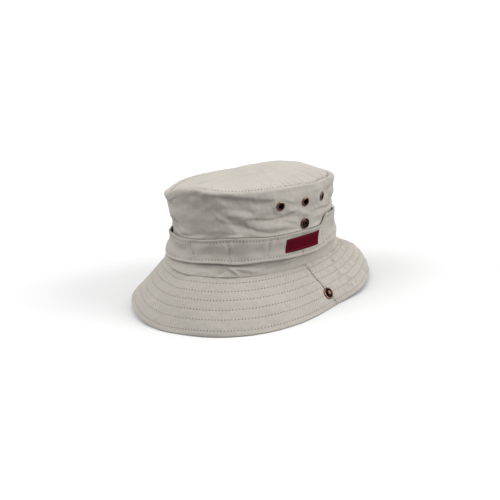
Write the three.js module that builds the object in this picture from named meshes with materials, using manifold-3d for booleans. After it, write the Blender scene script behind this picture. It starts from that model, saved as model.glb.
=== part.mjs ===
// A bush hat of light cotton drill, standing on its own brim.
//
// Millimetres, +Z up. The front of the hat faces -Y and the wearer's left is +X.
// Angles go round the head in degrees, from the front toward the wearer's left.
// A level is a place up the crown's side: 0 at the brim seam, 1 at the lip, and
// past 1 the cloth rolls over the lip and in to the seam of the top panel.
// A reach is a place across the top panel or the brim, 0 to 1.

import * as THREE from "three";
import { mergeVertices } from "three/addons/utils/BufferGeometryUtils.js";
import ManifoldModule from "manifold-3d";

const wasm = await ManifoldModule();
wasm.setup();

const { clamp, degToRad, lerp, smoothstep } = THREE.MathUtils;

// Driving dimensions: the head opening, a size 58 oval measured outside at the brim seam.
// Twice round the hat the seam stands out by OVAL_SQUARENESS at front, rear and sides, out
// by OVAL_SKEW at the quarters, and up by SEAM_TWIST there.
const HALF_WIDTH = 84;
const HALF_LENGTH = 104.5;
const OVAL_BACK = 4.1;
const OVAL_SQUARENESS = 4.3;
const OVAL_SKEW = -0.6;
const SEAM_TWIST = -3;

// Cloth walls, and the gap between pieces that are sewn or clinched together
const CROWN_CLOTH = 1.6;
const BRIM_CLOTH = 2.4;
const BAND_CLOTH = 1;
const LABEL_CLOTH = 1;
const SEWN_GAP = 0.35;

// The crown's side. scale is the oval's share of the head opening, height its centre,
// back its shift to the rear, tilt and lean its rise per millimetre to the rear and left
const TOP_SEAM_LEVEL = 1.12;
const CROWN_SECTIONS = [
  { level: 0.00, scale: 1.000, height: 43.2, back: 0.0, tilt: -0.081, lean: -0.003 },
  { level: 0.09, scale: 1.010, height: 50.4, back: -0.3, tilt: -0.063, lean: -0.005 },
  { level: 0.18, scale: 0.998, height: 58.0, back: -0.5, tilt: -0.045, lean: -0.006 },
  { level: 0.31, scale: 0.957, height: 68.3, back: 1.4, tilt: -0.040, lean: -0.003 },
  { level: 0.44, scale: 0.942, height: 78.5, back: 3.3, tilt: -0.036, lean: 0.000 },
  { level: 0.54, scale: 0.938, height: 86.5, back: 4.1, tilt: -0.042, lean: 0.003 },
  { level: 0.78, scale: 0.958, height: 105.0, back: 3.4, tilt: -0.058, lean: 0.010 },
  { level: 0.93, scale: 0.984, height: 117.5, back: 2.3, tilt: -0.068, lean: 0.014 },
  { level: 1.00, scale: 0.989, height: 122.8, back: 2.0, tilt: -0.073, lean: 0.015 },
  { level: 1.04, scale: 0.981, height: 126.2, back: 2.0, tilt: -0.073, lean: 0.015 },
  { level: 1.08, scale: 0.954, height: 128.2, back: 2.0, tilt: -0.073, lean: 0.015 },
  { level: TOP_SEAM_LEVEL, scale: 0.918, height: 127.6, back: 2.0, tilt: -0.073, lean: 0.015 },
];
const CROWN_ROWS = [
  0, 0.09, 0.18, 0.32, 0.45, 0.51, 0.58, 0.65, 0.72, 0.79, 0.86, 0.925, 0.975, 1.02, 1.07,
  TOP_SEAM_LEVEL,
];

// Where the lip and the top seam rise and dip, and stand out or fall in, as soft humps
// round the head
const LIP_WAVES = [
  { angle: 10, spread: 22, rise: 4, push: 0 },
  { angle: -20, spread: 10, rise: -3.2, push: 2.2 },
  { angle: -54, spread: 26, rise: -5.6, push: -2.2 },
  { angle: 140, spread: 16, rise: 0, push: 2 },
  { angle: 158, spread: 18, rise: -2, push: 0 },
  { angle: -95, spread: 25, rise: -2.5, push: 0 },
  { angle: -150, spread: 18, rise: 1.2, push: -1 },
];
const SEAM_WAVES = [
  { angle: 112, spread: 35, rise: -2.6 },
  { angle: -120, spread: 30, rise: -1.5 },
];
const LIP_WAVE_START = 0.5;

// Folds of the slumped side wall, each from one place to another. depth is how far the
// cloth stands out, or in where it is negative, and halfWidth how far it spreads aside.
const CROWN_FOLDS = [
  { fromAngle: 33, fromLevel: 0.985, toAngle: 80, toLevel: 0.845, halfWidth: 5, depth: -4.5 },
  { fromAngle: 35, fromLevel: 0.93, toAngle: 50, toLevel: 0.83, halfWidth: 4, depth: -2.2 },
  { fromAngle: 20, fromLevel: 0.9, toAngle: 33, toLevel: 0.69, halfWidth: 4.5, depth: -2.3 },
  { fromAngle: 31, fromLevel: 0.7, toAngle: 58, toLevel: 0.56, halfWidth: 4.5, depth: -3 },
  { fromAngle: 27, fromLevel: 0.76, toAngle: 38, toLevel: 0.59, halfWidth: 4, depth: 2.2 },
  { fromAngle: 32, fromLevel: 0.8, toAngle: 46, toLevel: 0.755, halfWidth: 4, depth: 2 },
  { fromAngle: 49, fromLevel: 0.575, toAngle: 80, toLevel: 0.575, halfWidth: 5, depth: 2.4 },
  { fromAngle: 49, fromLevel: 0.71, toAngle: 80, toLevel: 0.7, halfWidth: 4.5, depth: -2.6 },
  { fromAngle: 70, fromLevel: 0.79, toAngle: 89, toLevel: 0.66, halfWidth: 4, depth: 1.8 },
  { fromAngle: 33, fromLevel: 0.53, toAngle: 42, toLevel: 0.49, halfWidth: 4, depth: 2 },
  { fromAngle: -7, fromLevel: 0.57, toAngle: 4, toLevel: 0.51, halfWidth: 4, depth: 2.5 },
  { fromAngle: -18, fromLevel: 0.53, toAngle: -10, toLevel: 0.51, halfWidth: 4, depth: -2.6 },
  { fromAngle: -18, fromLevel: 0.68, toAngle: -3, toLevel: 0.61, halfWidth: 5, depth: -2 },
  { fromAngle: 14, fromLevel: 0.99, toAngle: 24, toLevel: 0.86, halfWidth: 4.5, depth: -2 },
  { fromAngle: -32, fromLevel: 0.9, toAngle: -16, toLevel: 0.87, halfWidth: 5, depth: -3.2 },
  { fromAngle: 112, fromLevel: 0.93, toAngle: 150, toLevel: 0.86, halfWidth: 5.5, depth: -3.5 },
  { fromAngle: 118, fromLevel: 0.6, toAngle: 150, toLevel: 0.72, halfWidth: 5.5, depth: -2.5 },
  { fromAngle: 140, fromLevel: 0.58, toAngle: 170, toLevel: 0.53, halfWidth: 5, depth: 2 },
  { fromAngle: 160, fromLevel: 0.9, toAngle: 196, toLevel: 0.95, halfWidth: 5.5, depth: -3 },
  { fromAngle: 170, fromLevel: 0.74, toAngle: 205, toLevel: 0.62, halfWidth: 5.5, depth: -2.5 },
  { fromAngle: 210, fromLevel: 0.92, toAngle: 246, toLevel: 0.87, halfWidth: 5.5, depth: -3.4 },
  { fromAngle: 216, fromLevel: 0.57, toAngle: 250, toLevel: 0.66, halfWidth: 5, depth: 2.2 },
  { fromAngle: 228, fromLevel: 0.74, toAngle: 262, toLevel: 0.62, halfWidth: 5.5, depth: -2.4 },
  { fromAngle: 262, fromLevel: 0.975, toAngle: 300, toLevel: 0.955, halfWidth: 4.5, depth: -2.6 },
  { fromAngle: 285, fromLevel: 0.63, toAngle: 318, toLevel: 0.72, halfWidth: 5.5, depth: -2.4 },
  { fromAngle: 300, fromLevel: 0.55, toAngle: 330, toLevel: 0.52, halfWidth: 4.5, depth: 2 },
];

// Cloth between two places of the side, in millimetres, and the levels between which folds
// grow and die out. FOLD_BLUNTNESS is how early in its arch a fold starts and ends.
const SPAN_PER_DEGREE = 1.66;
const SPAN_PER_LEVEL = 80;
const FOLDS_START = 0.465;
const FOLDS_FULL = 0.52;
const FOLDS_FADE = 1.0;
const FOLDS_END = 1.09;
const FOLD_BLUNTNESS = 0.15;

// The top panel, domed up from its seam and fuller toward the rear left by DOME_DRIFT. The
// powers say how flat the dome is in the middle, and how soon the seam's waves die out there.
const DOME_RISE = 7.5;
const DOME_POWER = 2.8;
const DOME_DRIFT = 15;
const SEAM_WAVE_POWER = 3;
const TOP_REACHES = [1, 0.9, 0.74, 0.5, 0.24];

// The hat band: a strip tacked down at intervals, so that it stands off in loops.
// foot and head are the tack's angle at the band's two edges, loop the cloth's stand-off
// between that tack and the next, and gape how far the upper edge opens beyond it.
const BAND_FOOT = 0.19;
const BAND_HEAD = 0.452;
const BAND_ROWS = [0, 0.5, 1];
const BAND_LOOPS = [
  { foot: 11, head: 3, loop: 1.4, gape: 0.5 },
  { foot: 35.5, head: 32.5, loop: 1.5, gape: 0.3 },
  { foot: 59.3, head: 59.5, loop: 1.2, gape: 0.2 },
  { foot: 82.7, head: 82, loop: 1, gape: 0.3 },
  { foot: 103.8, head: 102.5, loop: 2.2, gape: 1.6 },
  { foot: 134, head: 134, loop: 1.5, gape: 0.4 },
  { foot: 158, head: 158, loop: 1.4, gape: 0.3 },
  { foot: 183, head: 183, loop: 1.5, gape: 0.4 },
  { foot: 211, head: 211, loop: 1.4, gape: 0.3 },
  { foot: 239, head: 239, loop: 1.3, gape: 0.3 },
  { foot: 263, head: 263, loop: 1.2, gape: 0.3 },
  { foot: 286, head: 286, loop: 1.5, gape: 0.4 },
  { foot: 314, head: 314, loop: 0.9, gape: 2 },
];
const BAND_HEAD_WAVES = [
  { angle: 112, spread: 14, rise: 3.6 },
  { angle: 44, spread: 10, rise: -1 },
];
const BAND_FOOT_WAVES = [
  { angle: 106, spread: 12, rise: 2.6 },
  { angle: 74, spread: 13, rise: -1.4 },
];

// The label on the band, over the wearer's left temple
const LABEL_ANGLE = 83.6;
const LABEL_WIDTH = 46.5;
const LABEL_FOOT = 0.24;
const LABEL_HEAD = 0.382;
const LABEL_SEAT = 0.5;
const LABEL_COLUMNS = 10;
const LABEL_ROWS = 2;

// The brim: slant width at the side, its gain to the front, the bow of its slant, and the
// way the slumped edge leaves the ground at the wearer's left rear and right front
const BRIM_WIDTH = 55;
const BRIM_FRONT_GAIN = 9.5;
const BRIM_BOW = 3;
const BRIM_WAVES = [
  { angle: 14, spread: 14, width: -1.6, bow: 0 },
  { angle: 52, spread: 22, width: 2.5, bow: 0 },
  { angle: 90, spread: 12, width: -1.5, bow: 0 },
  { angle: 112, spread: 12, width: 2.2, bow: 0 },
  { angle: 140, spread: 30, width: 0, bow: 4 },
  { angle: -50, spread: 35, width: 0, bow: -3.5 },
];
const EDGE_LIFT_LEFT_REAR = 7.2;
const EDGE_LIFT_RIGHT_FRONT = 8.7;
const EDGE_LIFT_POWER = 1.5;
const BRIM_ROWS = [0, 0.3, 0.6, 0.85, 1];
const BRIM_SEAM_LINE = [
  { across: 60, rear: -2.9 },
  { across: 93, rear: -2.9 },
  { across: 102, rear: 0.6 },
  { across: 130, rear: 21.6 },
];
const BEYOND_BRIM = 300;

// Metal fittings and their places
const EYELET_PLACES = [
  { angle: 69.5, level: 0.832 },
  { angle: 88.5, level: 0.828 },
  { angle: 105.5, level: 0.835 },
];
const SOCKET_PLACE = { angle: 86.3, level: 0.545 };
const STUD_PLACE = { angle: 89.3, reach: 0.715 };

// Half sections of the fittings. seat is the front's gap to the face of the cloth, post the
// radius of what passes through it, front and back the two outlines from there.
const EYELET = {
  seat: 0.45,
  post: 2.9,
  back: [
    { radius: 2.3, height: -0.6 },
    { radius: 3.9, height: -0.6 },
    { radius: 4.2, height: 0 },
    { radius: 2.9, height: 0 },
  ],
  front: [
    { radius: 2.9, height: 0 },
    { radius: 4.8, height: 0 },
    { radius: 4.5, height: 0.5 },
    { radius: 3.6, height: 0.8 },
    { radius: 2.6, height: 0.5 },
    { radius: 2.3, height: 0 },
  ],
};

// The hollow half of the snap: a rimmed cup with a ring in it that grips the stud
const SNAP_SOCKET = {
  seat: 0.65,
  post: 1.9,
  back: [
    { radius: 0, height: -1.1 },
    { radius: 4.7, height: -0.9 },
    { radius: 5, height: 0 },
    { radius: 1.9, height: 0 },
  ],
  front: [
    { radius: 1.9, height: 0 },
    { radius: 4.9, height: 0 },
    { radius: 5.2, height: 0.6 },
    { radius: 4.7, height: 1.5 },
    { radius: 4, height: 1.3 },
    { radius: 3.6, height: 0.5 },
    { radius: 2.8, height: 0.5 },
    { radius: 2.5, height: 1.2 },
    { radius: 1.9, height: 1.1 },
    { radius: 1.7, height: 0.4 },
    { radius: 0, height: 0.4 },
  ],
};

// The other half of the snap: a rimmed plate with a waisted stud in its middle
const SNAP_STUD = {
  seat: 0.5,
  post: 1.9,
  back: [
    { radius: 0, height: -1.1 },
    { radius: 4.3, height: -0.9 },
    { radius: 4.6, height: 0 },
    { radius: 1.9, height: 0 },
  ],
  front: [
    { radius: 1.9, height: 0 },
    { radius: 5.3, height: 0 },
    { radius: 5.6, height: 0.5 },
    { radius: 5.1, height: 1.1 },
    { radius: 4.3, height: 0.9 },
    { radius: 3.9, height: 0.4 },
    { radius: 1.9, height: 0.4 },
    { radius: 1.7, height: 1.3 },
    { radius: 2.2, height: 2 },
    { radius: 1.5, height: 2.7 },
    { radius: 0, height: 2.8 },
  ],
};
const HOLE_GAP = 0.3;
const HOLE_DEPTH = 12;
const BACK_GAP = 0.55;
const FITTING_SIDES = 14;
const SEAT_RADIUS = 8.5;
const SEAT_BLEND = 13;

// Columns of faces round the hat, and the small step by which slopes are measured
const COLUMNS = 72;
const TINY = 1e-3;

// Sum of one column of a table of soft humps, at one angle
function waveAt(waves, column, angle) {
  let sum = 0;
  for (const wave of waves) {
    sum += wave[column] * Math.exp(-((turn(angle - wave.angle) / wave.spread) ** 2));
  }
  return sum;
}

// An angle brought into the range from -180 to 180
function turn(angle) {
  return THREE.MathUtils.euclideanModulo(angle + 180, 360) - 180;
}

// One column of the section table at any level, as a smooth curve through its rows
function sectionValue(column, level) {
  const last = CROWN_SECTIONS.length - 1;
  const found = CROWN_SECTIONS.findLastIndex((section) => section.level <= level);
  const i = clamp(found, 0, last - 1);
  const low = CROWN_SECTIONS[i];
  const high = CROWN_SECTIONS[i + 1];
  const before = CROWN_SECTIONS[Math.max(i - 1, 0)];
  const after = CROWN_SECTIONS[Math.min(i + 2, last)];
  const span = high.level - low.level;
  const slopeIn = ((high[column] - before[column]) / (high.level - before.level)) * span;
  const slopeOut = ((after[column] - low[column]) / (after.level - low.level)) * span;
  const t = (level - low.level) / span;
  const rise = high[column] - low[column];
  return low[column] + t * (slopeIn + t * (3 * rise - 2 * slopeIn - slopeOut
    + t * (slopeIn + slopeOut - 2 * rise)));
}

// Place on the head oval, before its shift to the rear, and its outward direction
function ovalAt(angle, scale) {
  const sine = Math.sin(degToRad(angle));
  const cosine = Math.cos(degToRad(angle));
  return {
    place: new THREE.Vector3(scale * HALF_WIDTH * sine, -scale * HALF_LENGTH * cosine, 0),
    outward: new THREE.Vector3(sine / HALF_WIDTH, -cosine / HALF_LENGTH, 0).normalize(),
  };
}

// The crown's side without its folds
function crownForm(angle, level) {
  const { place, outward } = ovalAt(angle, sectionValue("scale", level));
  place.y += sectionValue("back", level);
  place.z = sectionValue("height", level)
    + sectionValue("tilt", level) * place.y
    + sectionValue("lean", level) * place.x;
  const seamShare = 1 - smoothstep(level, 0, BAND_FOOT);
  const doubled = degToRad(2 * angle);
  const squareness = OVAL_SQUARENESS * Math.cos(doubled) + OVAL_SKEW * Math.sin(doubled);
  place.addScaledVector(outward, squareness * seamShare);
  place.z += SEAM_TWIST * Math.sin(doubled) * seamShare;
  const lipShare = smoothstep(level, LIP_WAVE_START, 1);
  place.addScaledVector(outward, waveAt(LIP_WAVES, "push", angle) * lipShare);
  place.z += waveAt(LIP_WAVES, "rise", angle) * lipShare;
  place.z += waveAt(SEAM_WAVES, "rise", angle) * smoothstep(level, 1, TOP_SEAM_LEVEL);
  place.y += OVAL_BACK;
  return place;
}

// Outward normal of a surface given as a function of angle and a second place
function normalOf(surface, angle, place) {
  const across = surface(angle + TINY, place).sub(surface(angle - TINY, place));
  const along = surface(angle, place + TINY).sub(surface(angle, place - TINY));
  return across.cross(along).normalize();
}

// Distance over the cloth between two places on the crown's side
function clothDistance(angle, level, place) {
  const across = turn(angle - place.angle) * SPAN_PER_DEGREE;
  const up = (level - place.level) * SPAN_PER_LEVEL;
  return Math.hypot(across, up);
}

// How freely the cloth folds: not under the band, at the top seam or round a fitting
function foldFreedom(angle, level) {
  let freedom = smoothstep(level, FOLDS_START, FOLDS_FULL);
  freedom *= 1 - smoothstep(level, FOLDS_FADE, FOLDS_END);
  for (const place of [...EYELET_PLACES, SOCKET_PLACE]) {
    for (const side of [1, -1]) {
      const away = clothDistance(angle, level, { angle: side * place.angle, level: place.level });
      freedom *= smoothstep(away, SEAT_RADIUS, SEAT_BLEND);
    }
  }
  return freedom;
}

// How far all folds together stand out at one place
function foldDepth(angle, level) {
  let depth = 0;
  for (const fold of CROWN_FOLDS) {
    const alongX = (fold.toAngle - fold.fromAngle) * SPAN_PER_DEGREE;
    const alongY = (fold.toLevel - fold.fromLevel) * SPAN_PER_LEVEL;
    const hereX = turn(angle - fold.fromAngle) * SPAN_PER_DEGREE;
    const hereY = (level - fold.fromLevel) * SPAN_PER_LEVEL;
    const share = clamp((hereX * alongX + hereY * alongY) / (alongX ** 2 + alongY ** 2), 0, 1);
    const aside = Math.hypot(hereX - share * alongX, hereY - share * alongY);
    const taper = Math.sin(Math.PI * lerp(FOLD_BLUNTNESS, 1 - FOLD_BLUNTNESS, share));
    depth += fold.depth * taper * Math.exp(-((aside / fold.halfWidth) ** 2));
  }
  return depth * foldFreedom(angle, level);
}

// Outer face of the crown's side
function crownFace(angle, level) {
  const outward = normalOf(crownForm, angle, level);
  return crownForm(angle, level).addScaledVector(outward, foldDepth(angle, level));
}

// Outer face of the top panel: reach 0 at its middle, 1 at its seam
function topFace(angle, reach) {
  const rim = crownForm(angle, TOP_SEAM_LEVEL);
  const wave = rim.z - rimPlane(rim.x, rim.y);
  const middle = OVAL_BACK + sectionValue("back", TOP_SEAM_LEVEL);
  const place = new THREE.Vector3(rim.x * reach, lerp(middle, rim.y, reach), 0);
  const towardRearLeft = (place.x + place.y - middle) / Math.SQRT2 / HALF_WIDTH;
  place.z = rimPlane(place.x, place.y) + wave * reach ** SEAM_WAVE_POWER
    + DOME_RISE * (1 - reach ** DOME_POWER) + DOME_DRIFT * towardRearLeft * (1 - reach ** 2);
  return place;
}

// Height of the sloping plane in which the top seam lies
function rimPlane(x, y) {
  return sectionValue("height", TOP_SEAM_LEVEL)
    + sectionValue("tilt", TOP_SEAM_LEVEL) * (y - OVAL_BACK)
    + sectionValue("lean", TOP_SEAM_LEVEL) * x;
}

// The loop of the band at one place. up goes from 0 at the lower edge to 1 at the upper.
function bandStandOff(angle, up) {
  const tackAt = (row) => lerp(row.foot, row.head, up);
  let standOff = 0;
  BAND_LOOPS.forEach((row, i) => {
    const next = BAND_LOOPS[(i + 1) % BAND_LOOPS.length];
    const start = tackAt(row);
    const width = THREE.MathUtils.euclideanModulo(tackAt(next) - start, 360);
    const along = THREE.MathUtils.euclideanModulo(angle - start, 360) / width;
    if (along < 1) {
      standOff = (row.loop + row.gape * up ** 2) * Math.sin(Math.PI * along) ** 2;
    }
  });
  return standOff;
}

// Faces of the band, depth being measured outward from its inner face
function bandFace(angle, up, depth) {
  const foot = BAND_FOOT + waveAt(BAND_FOOT_WAVES, "rise", angle) / SPAN_PER_LEVEL;
  const head = BAND_HEAD + waveAt(BAND_HEAD_WAVES, "rise", angle) / SPAN_PER_LEVEL;
  const level = lerp(foot, head, up);
  const standOff = SEWN_GAP + bandStandOff(angle, up) + depth;
  return crownForm(angle, level).addScaledVector(normalOf(crownForm, angle, level), standOff);
}

// Outer face of the brim: reach 0 at the brim seam, 1 at the edge
function brimFace(angle, reach) {
  const root = crownForm(angle, 0);
  root.z -= SEWN_GAP;
  const { outward } = ovalAt(angle, 1);
  const quarter = Math.max(0, -Math.sin(degToRad(2 * angle)));
  const fullLift = outward.x > 0 ? EDGE_LIFT_LEFT_REAR : EDGE_LIFT_RIGHT_FRONT;
  const drop = root.z - fullLift * quarter ** EDGE_LIFT_POWER;
  const slant = BRIM_WIDTH + BRIM_FRONT_GAIN * Math.cos(degToRad(angle))
    + waveAt(BRIM_WAVES, "width", angle);
  const spread = Math.sqrt(slant ** 2 - drop ** 2);
  const arch = 4 * reach * (1 - reach);
  const bow = ((BRIM_BOW + waveAt(BRIM_WAVES, "bow", angle)) * arch) / slant;
  root.addScaledVector(outward, spread * reach + drop * bow);
  root.z += spread * bow - drop * reach;
  return root;
}

// Closed skin over rings of points that go round the hat. A ring of one point is a pole,
// and a looped skin joins its last ring to its first.
function skin(rings, looped) {
  const positions = [];
  const index = [];
  const starts = rings.map((ring) => {
    const start = positions.length / 3;
    ring.forEach((point) => positions.push(point.x, point.y, point.z));
    return start;
  });
  const strips = looped ? rings.length : rings.length - 1;
  for (let strip = 0; strip < strips; strip++) {
    const next = (strip + 1) % rings.length;
    for (let column = 0; column < COLUMNS; column++) {
      const corner = (ring, step) => starts[ring] + ((column + step) % rings[ring].length);
      const low = [corner(strip, 0), corner(strip, 1)];
      const high = [corner(next, 0), corner(next, 1)];
      if (low[0] !== low[1]) {
        index.push(low[0], low[1], high[1]);
      }
      if (high[0] !== high[1]) {
        index.push(low[0], high[1], high[0]);
      }
    }
  }
  const geometry = new THREE.BufferGeometry();
  geometry.setAttribute("position", new THREE.Float32BufferAttribute(positions, 3));
  geometry.setIndex(index);
  return geometry;
}

// One point for each column of faces
function ringOf(pointAt) {
  return Array.from({ length: COLUMNS }, (_, column) => pointAt((column * 360) / COLUMNS));
}

// A cloth wall: its outer face row by row, then its inner face back again
function clothWall(outer, rows, thickness) {
  const outside = rows.map((row) => ringOf((angle) => outer(angle, row)));
  const inside = rows.map((row) =>
    ringOf((angle) => outer(angle, row).addScaledVector(normalOf(outer, angle, row), -thickness)));
  return { outside, inside: inside.reverse() };
}

function crownSideSkin() {
  const wall = clothWall(crownFace, CROWN_ROWS, CROWN_CLOTH);
  return skin([...wall.outside, ...wall.inside], true);
}

function crownTopSkin() {
  const seamReach = 1 - SEWN_GAP / HALF_WIDTH;
  const inwardFace = (angle, row) => topFace(angle, (1 - row) * seamReach);
  const rows = TOP_REACHES.map((reach) => 1 - reach);
  const wall = clothWall(inwardFace, rows, CROWN_CLOTH);
  const outerPole = topFace(0, 0);
  const innerPole = outerPole.clone();
  innerPole.z -= CROWN_CLOTH;
  return skin([[innerPole], ...wall.inside, ...wall.outside, [outerPole]], false);
}

function bandSkin() {
  const face = (depth) => BAND_ROWS.map((up) => ringOf((angle) => bandFace(angle, up, depth)));
  return skin([...face(BAND_CLOTH), ...face(0).reverse()], true);
}

// The brim's two ends are cut level: the edge to lie flat on the ground, the root to meet
// the crown's lower edge
function brimSkin() {
  const outwardFace = (angle, row) => brimFace(angle, 1 - row);
  const rows = BRIM_ROWS.map((reach) => 1 - reach).reverse();
  const wall = clothWall(outwardFace, rows, BRIM_CLOTH);
  const levelEnd = (row) => ringOf((angle) => {
    const slope = normalOf(outwardFace, angle, row);
    const { outward } = ovalAt(angle, 1);
    return outwardFace(angle, row).addScaledVector(outward, -BRIM_CLOTH / slope.dot(outward));
  });
  wall.inside[wall.inside.length - 1] = levelEnd(rows[0]);
  wall.inside[0] = levelEnd(rows[rows.length - 1]);
  return skin([...wall.outside, ...wall.inside], true);
}

// The block of space that holds one of the brim's two panels, seamed at the wearer's temples
// on lines that bend to the rear. side is -1 for the front panel and 1 for the back one.
function brimPanel(side) {
  const halfGap = (side * SEWN_GAP) / 2;
  const seamPoint = (row, hand) => new THREE.Vector2(hand * row.across, row.rear + halfGap);
  const plan = new THREE.Shape([
    ...BRIM_SEAM_LINE.map((row) => seamPoint(row, -1)).reverse(),
    ...BRIM_SEAM_LINE.map((row) => seamPoint(row, 1)),
    new THREE.Vector2(BEYOND_BRIM, side * BEYOND_BRIM),
    new THREE.Vector2(-BEYOND_BRIM, side * BEYOND_BRIM),
  ]);
  const block = new THREE.ExtrudeGeometry(plan, { depth: BEYOND_BRIM, bevelEnabled: false });
  block.translate(0, 0, -BEYOND_BRIM / 2);
  return toSolid(block);
}

// A woven patch, bent from a flat one onto the outside of the band
function labelGeometry() {
  const patch = new THREE.BoxGeometry(1, 1, LABEL_CLOTH, LABEL_COLUMNS, LABEL_ROWS, 1);
  const halfAngle = LABEL_WIDTH / 2 / SPAN_PER_DEGREE;
  const upAt = (level) => (level - BAND_FOOT) / (BAND_HEAD - BAND_FOOT);
  const points = patch.getAttribute("position");
  for (let i = 0; i < points.count; i++) {
    const angle = LABEL_ANGLE + 2 * halfAngle * points.getX(i);
    const up = upAt(lerp(LABEL_FOOT, LABEL_HEAD, points.getY(i) + 0.5));
    const depth = BAND_CLOTH + LABEL_SEAT + LABEL_CLOTH / 2 + points.getZ(i);
    points.setXYZ(i, ...bandFace(angle, up, depth).toArray());
  }
  return patch;
}

// A turned fitting, clinched through cloth whose outer face lies at height 0
function fittingGeometry(fitting, cloth) {
  const outline = [
    ...fitting.back.map((row) => new THREE.Vector2(row.radius, row.height - cloth - BACK_GAP)),
    ...fitting.front.map((row) => new THREE.Vector2(row.radius, row.height + fitting.seat)),
  ];
  const [first] = outline;
  if (first.x > 0) {
    outline.push(first.clone());
  }
  return new THREE.LatheGeometry(outline, FITTING_SIDES);
}

// Solids for cutting, and back again
function toSolid(geometry) {
  const bare = geometry.clone();
  bare.deleteAttribute("normal");
  bare.deleteAttribute("uv");
  const merged = mergeVertices(bare);
  return new wasm.Manifold(new wasm.Mesh({
    numProp: 3,
    vertProperties: new Float32Array(merged.getAttribute("position").array),
    triVerts: new Uint32Array(merged.getIndex().array),
  }));
}

function toGeometry(solid) {
  const cut = solid.getMesh();
  const geometry = new THREE.BufferGeometry();
  geometry.setAttribute("position", new THREE.Float32BufferAttribute(cut.vertProperties, 3));
  geometry.setIndex(new THREE.Uint32BufferAttribute(cut.triVerts, 1));
  return geometry;
}

// Where a fitting sits on a face, with its axis along the normal that points out of the hat
function seatOn(face, angle, place, facing) {
  const outward = normalOf(face, angle, place).multiplyScalar(facing);
  return {
    position: face(angle, place),
    quaternion: new THREE.Quaternion().setFromUnitVectors(THREE.Object3D.DEFAULT_UP, outward),
  };
}

// The space that a fitting's post needs in the cloth
function holeThrough(seat, post) {
  const radius = post + HOLE_GAP;
  const drill = new THREE.CylinderGeometry(radius, radius, HOLE_DEPTH, FITTING_SIDES);
  drill.applyQuaternion(seat.quaternion);
  drill.translate(...seat.position.toArray());
  return toSolid(drill);
}

function colouredMesh(name, geometry, look) {
  geometry.deleteAttribute("uv");
  geometry.computeVertexNormals();
  const mesh = new THREE.Mesh(geometry, new THREE.MeshStandardMaterial(look));
  mesh.name = name;
  return mesh;
}

const CLOTH_LOOK = { color: "#c4bdb2", roughness: 0.92, metalness: 0 };
const LABEL_LOOK = { color: "#5c0f1c", roughness: 0.8, metalness: 0 };
const METAL_LOOK = { color: "#8a5a41", roughness: 0.42, metalness: 0.9 };

const hat = new THREE.Group();

// A fitting on its seat, and the hole that it needs
function addFitting(name, fitting, cloth, seat) {
  const mesh = colouredMesh(name, fittingGeometry(fitting, cloth), METAL_LOOK);
  mesh.position.copy(seat.position);
  mesh.quaternion.copy(seat.quaternion);
  hat.add(mesh);
  return holeThrough(seat, fitting.post);
}

// Eyelets and snaps on both sides of the hat
const crownHoles = [];
const brimHoles = [];
for (const [sideName, side] of [["left", 1], ["right", -1]]) {
  EYELET_PLACES.forEach((place, i) => {
    const seat = seatOn(crownFace, side * place.angle, place.level, 1);
    crownHoles.push(addFitting(`eyelet_${sideName}_${i + 1}`, EYELET, CROWN_CLOTH, seat));
  });
  const socketSeat = seatOn(crownFace, side * SOCKET_PLACE.angle, SOCKET_PLACE.level, 1);
  crownHoles.push(addFitting(`snap_socket_${sideName}`, SNAP_SOCKET, CROWN_CLOTH, socketSeat));
  const studSeat = seatOn(brimFace, side * STUD_PLACE.angle, STUD_PLACE.reach, -1);
  brimHoles.push(addFitting(`snap_stud_${sideName}`, SNAP_STUD, BRIM_CLOTH, studSeat));
}

function drilled(solid, holes) {
  return holes.reduce((rest, hole) => rest.subtract(hole), solid);
}

const crownSide = drilled(toSolid(crownSideSkin()), crownHoles);
hat.add(colouredMesh("crown_side", toGeometry(crownSide), CLOTH_LOOK));
hat.add(colouredMesh("crown_top", crownTopSkin(), CLOTH_LOOK));
hat.add(colouredMesh("hat_band", bandSkin(), CLOTH_LOOK));
hat.add(colouredMesh("label", labelGeometry(), LABEL_LOOK));

const brim = drilled(toSolid(brimSkin()), brimHoles);
for (const [name, side] of [["brim_front", -1], ["brim_back", 1]]) {
  hat.add(colouredMesh(name, toGeometry(brim.intersect(brimPanel(side))), CLOTH_LOOK));
}

export default hat;
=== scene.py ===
# The cloth, stitching and fittings of a cotton bush hat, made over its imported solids.
#
# Lengths in the tables are millimetres. Angles go round the head in degrees, from the
# front toward the wearer's left. A level is a place up the crown's side: 0 at the brim
# seam, 1 at the lip, and past 1 the cloth rolls in to the seam of the top panel. A reach
# is a place across the top panel or the brim, from 0 to 1.

import math
from collections import namedtuple

import bmesh
import bpy
import numpy as np
from bpy.props import FloatProperty, FloatVectorProperty, IntProperty, PointerProperty
from mathutils import Matrix, Vector


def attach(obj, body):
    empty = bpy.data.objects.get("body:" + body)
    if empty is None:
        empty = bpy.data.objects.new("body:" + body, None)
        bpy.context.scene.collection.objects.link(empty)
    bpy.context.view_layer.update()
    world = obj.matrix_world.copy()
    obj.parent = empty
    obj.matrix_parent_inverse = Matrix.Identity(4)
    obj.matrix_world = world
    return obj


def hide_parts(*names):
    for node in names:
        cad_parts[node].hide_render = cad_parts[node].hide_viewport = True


bl_info = {
    "name": "Bush Hat",
    "version": (1, 0, 0),
    "blender": (4, 5, 0),
    "location": "3D View > Sidebar > Bush Hat",
    "description": "Makes the cloth, stitching and fittings of a cotton bush hat",
    "category": "Add Mesh",
}

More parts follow.
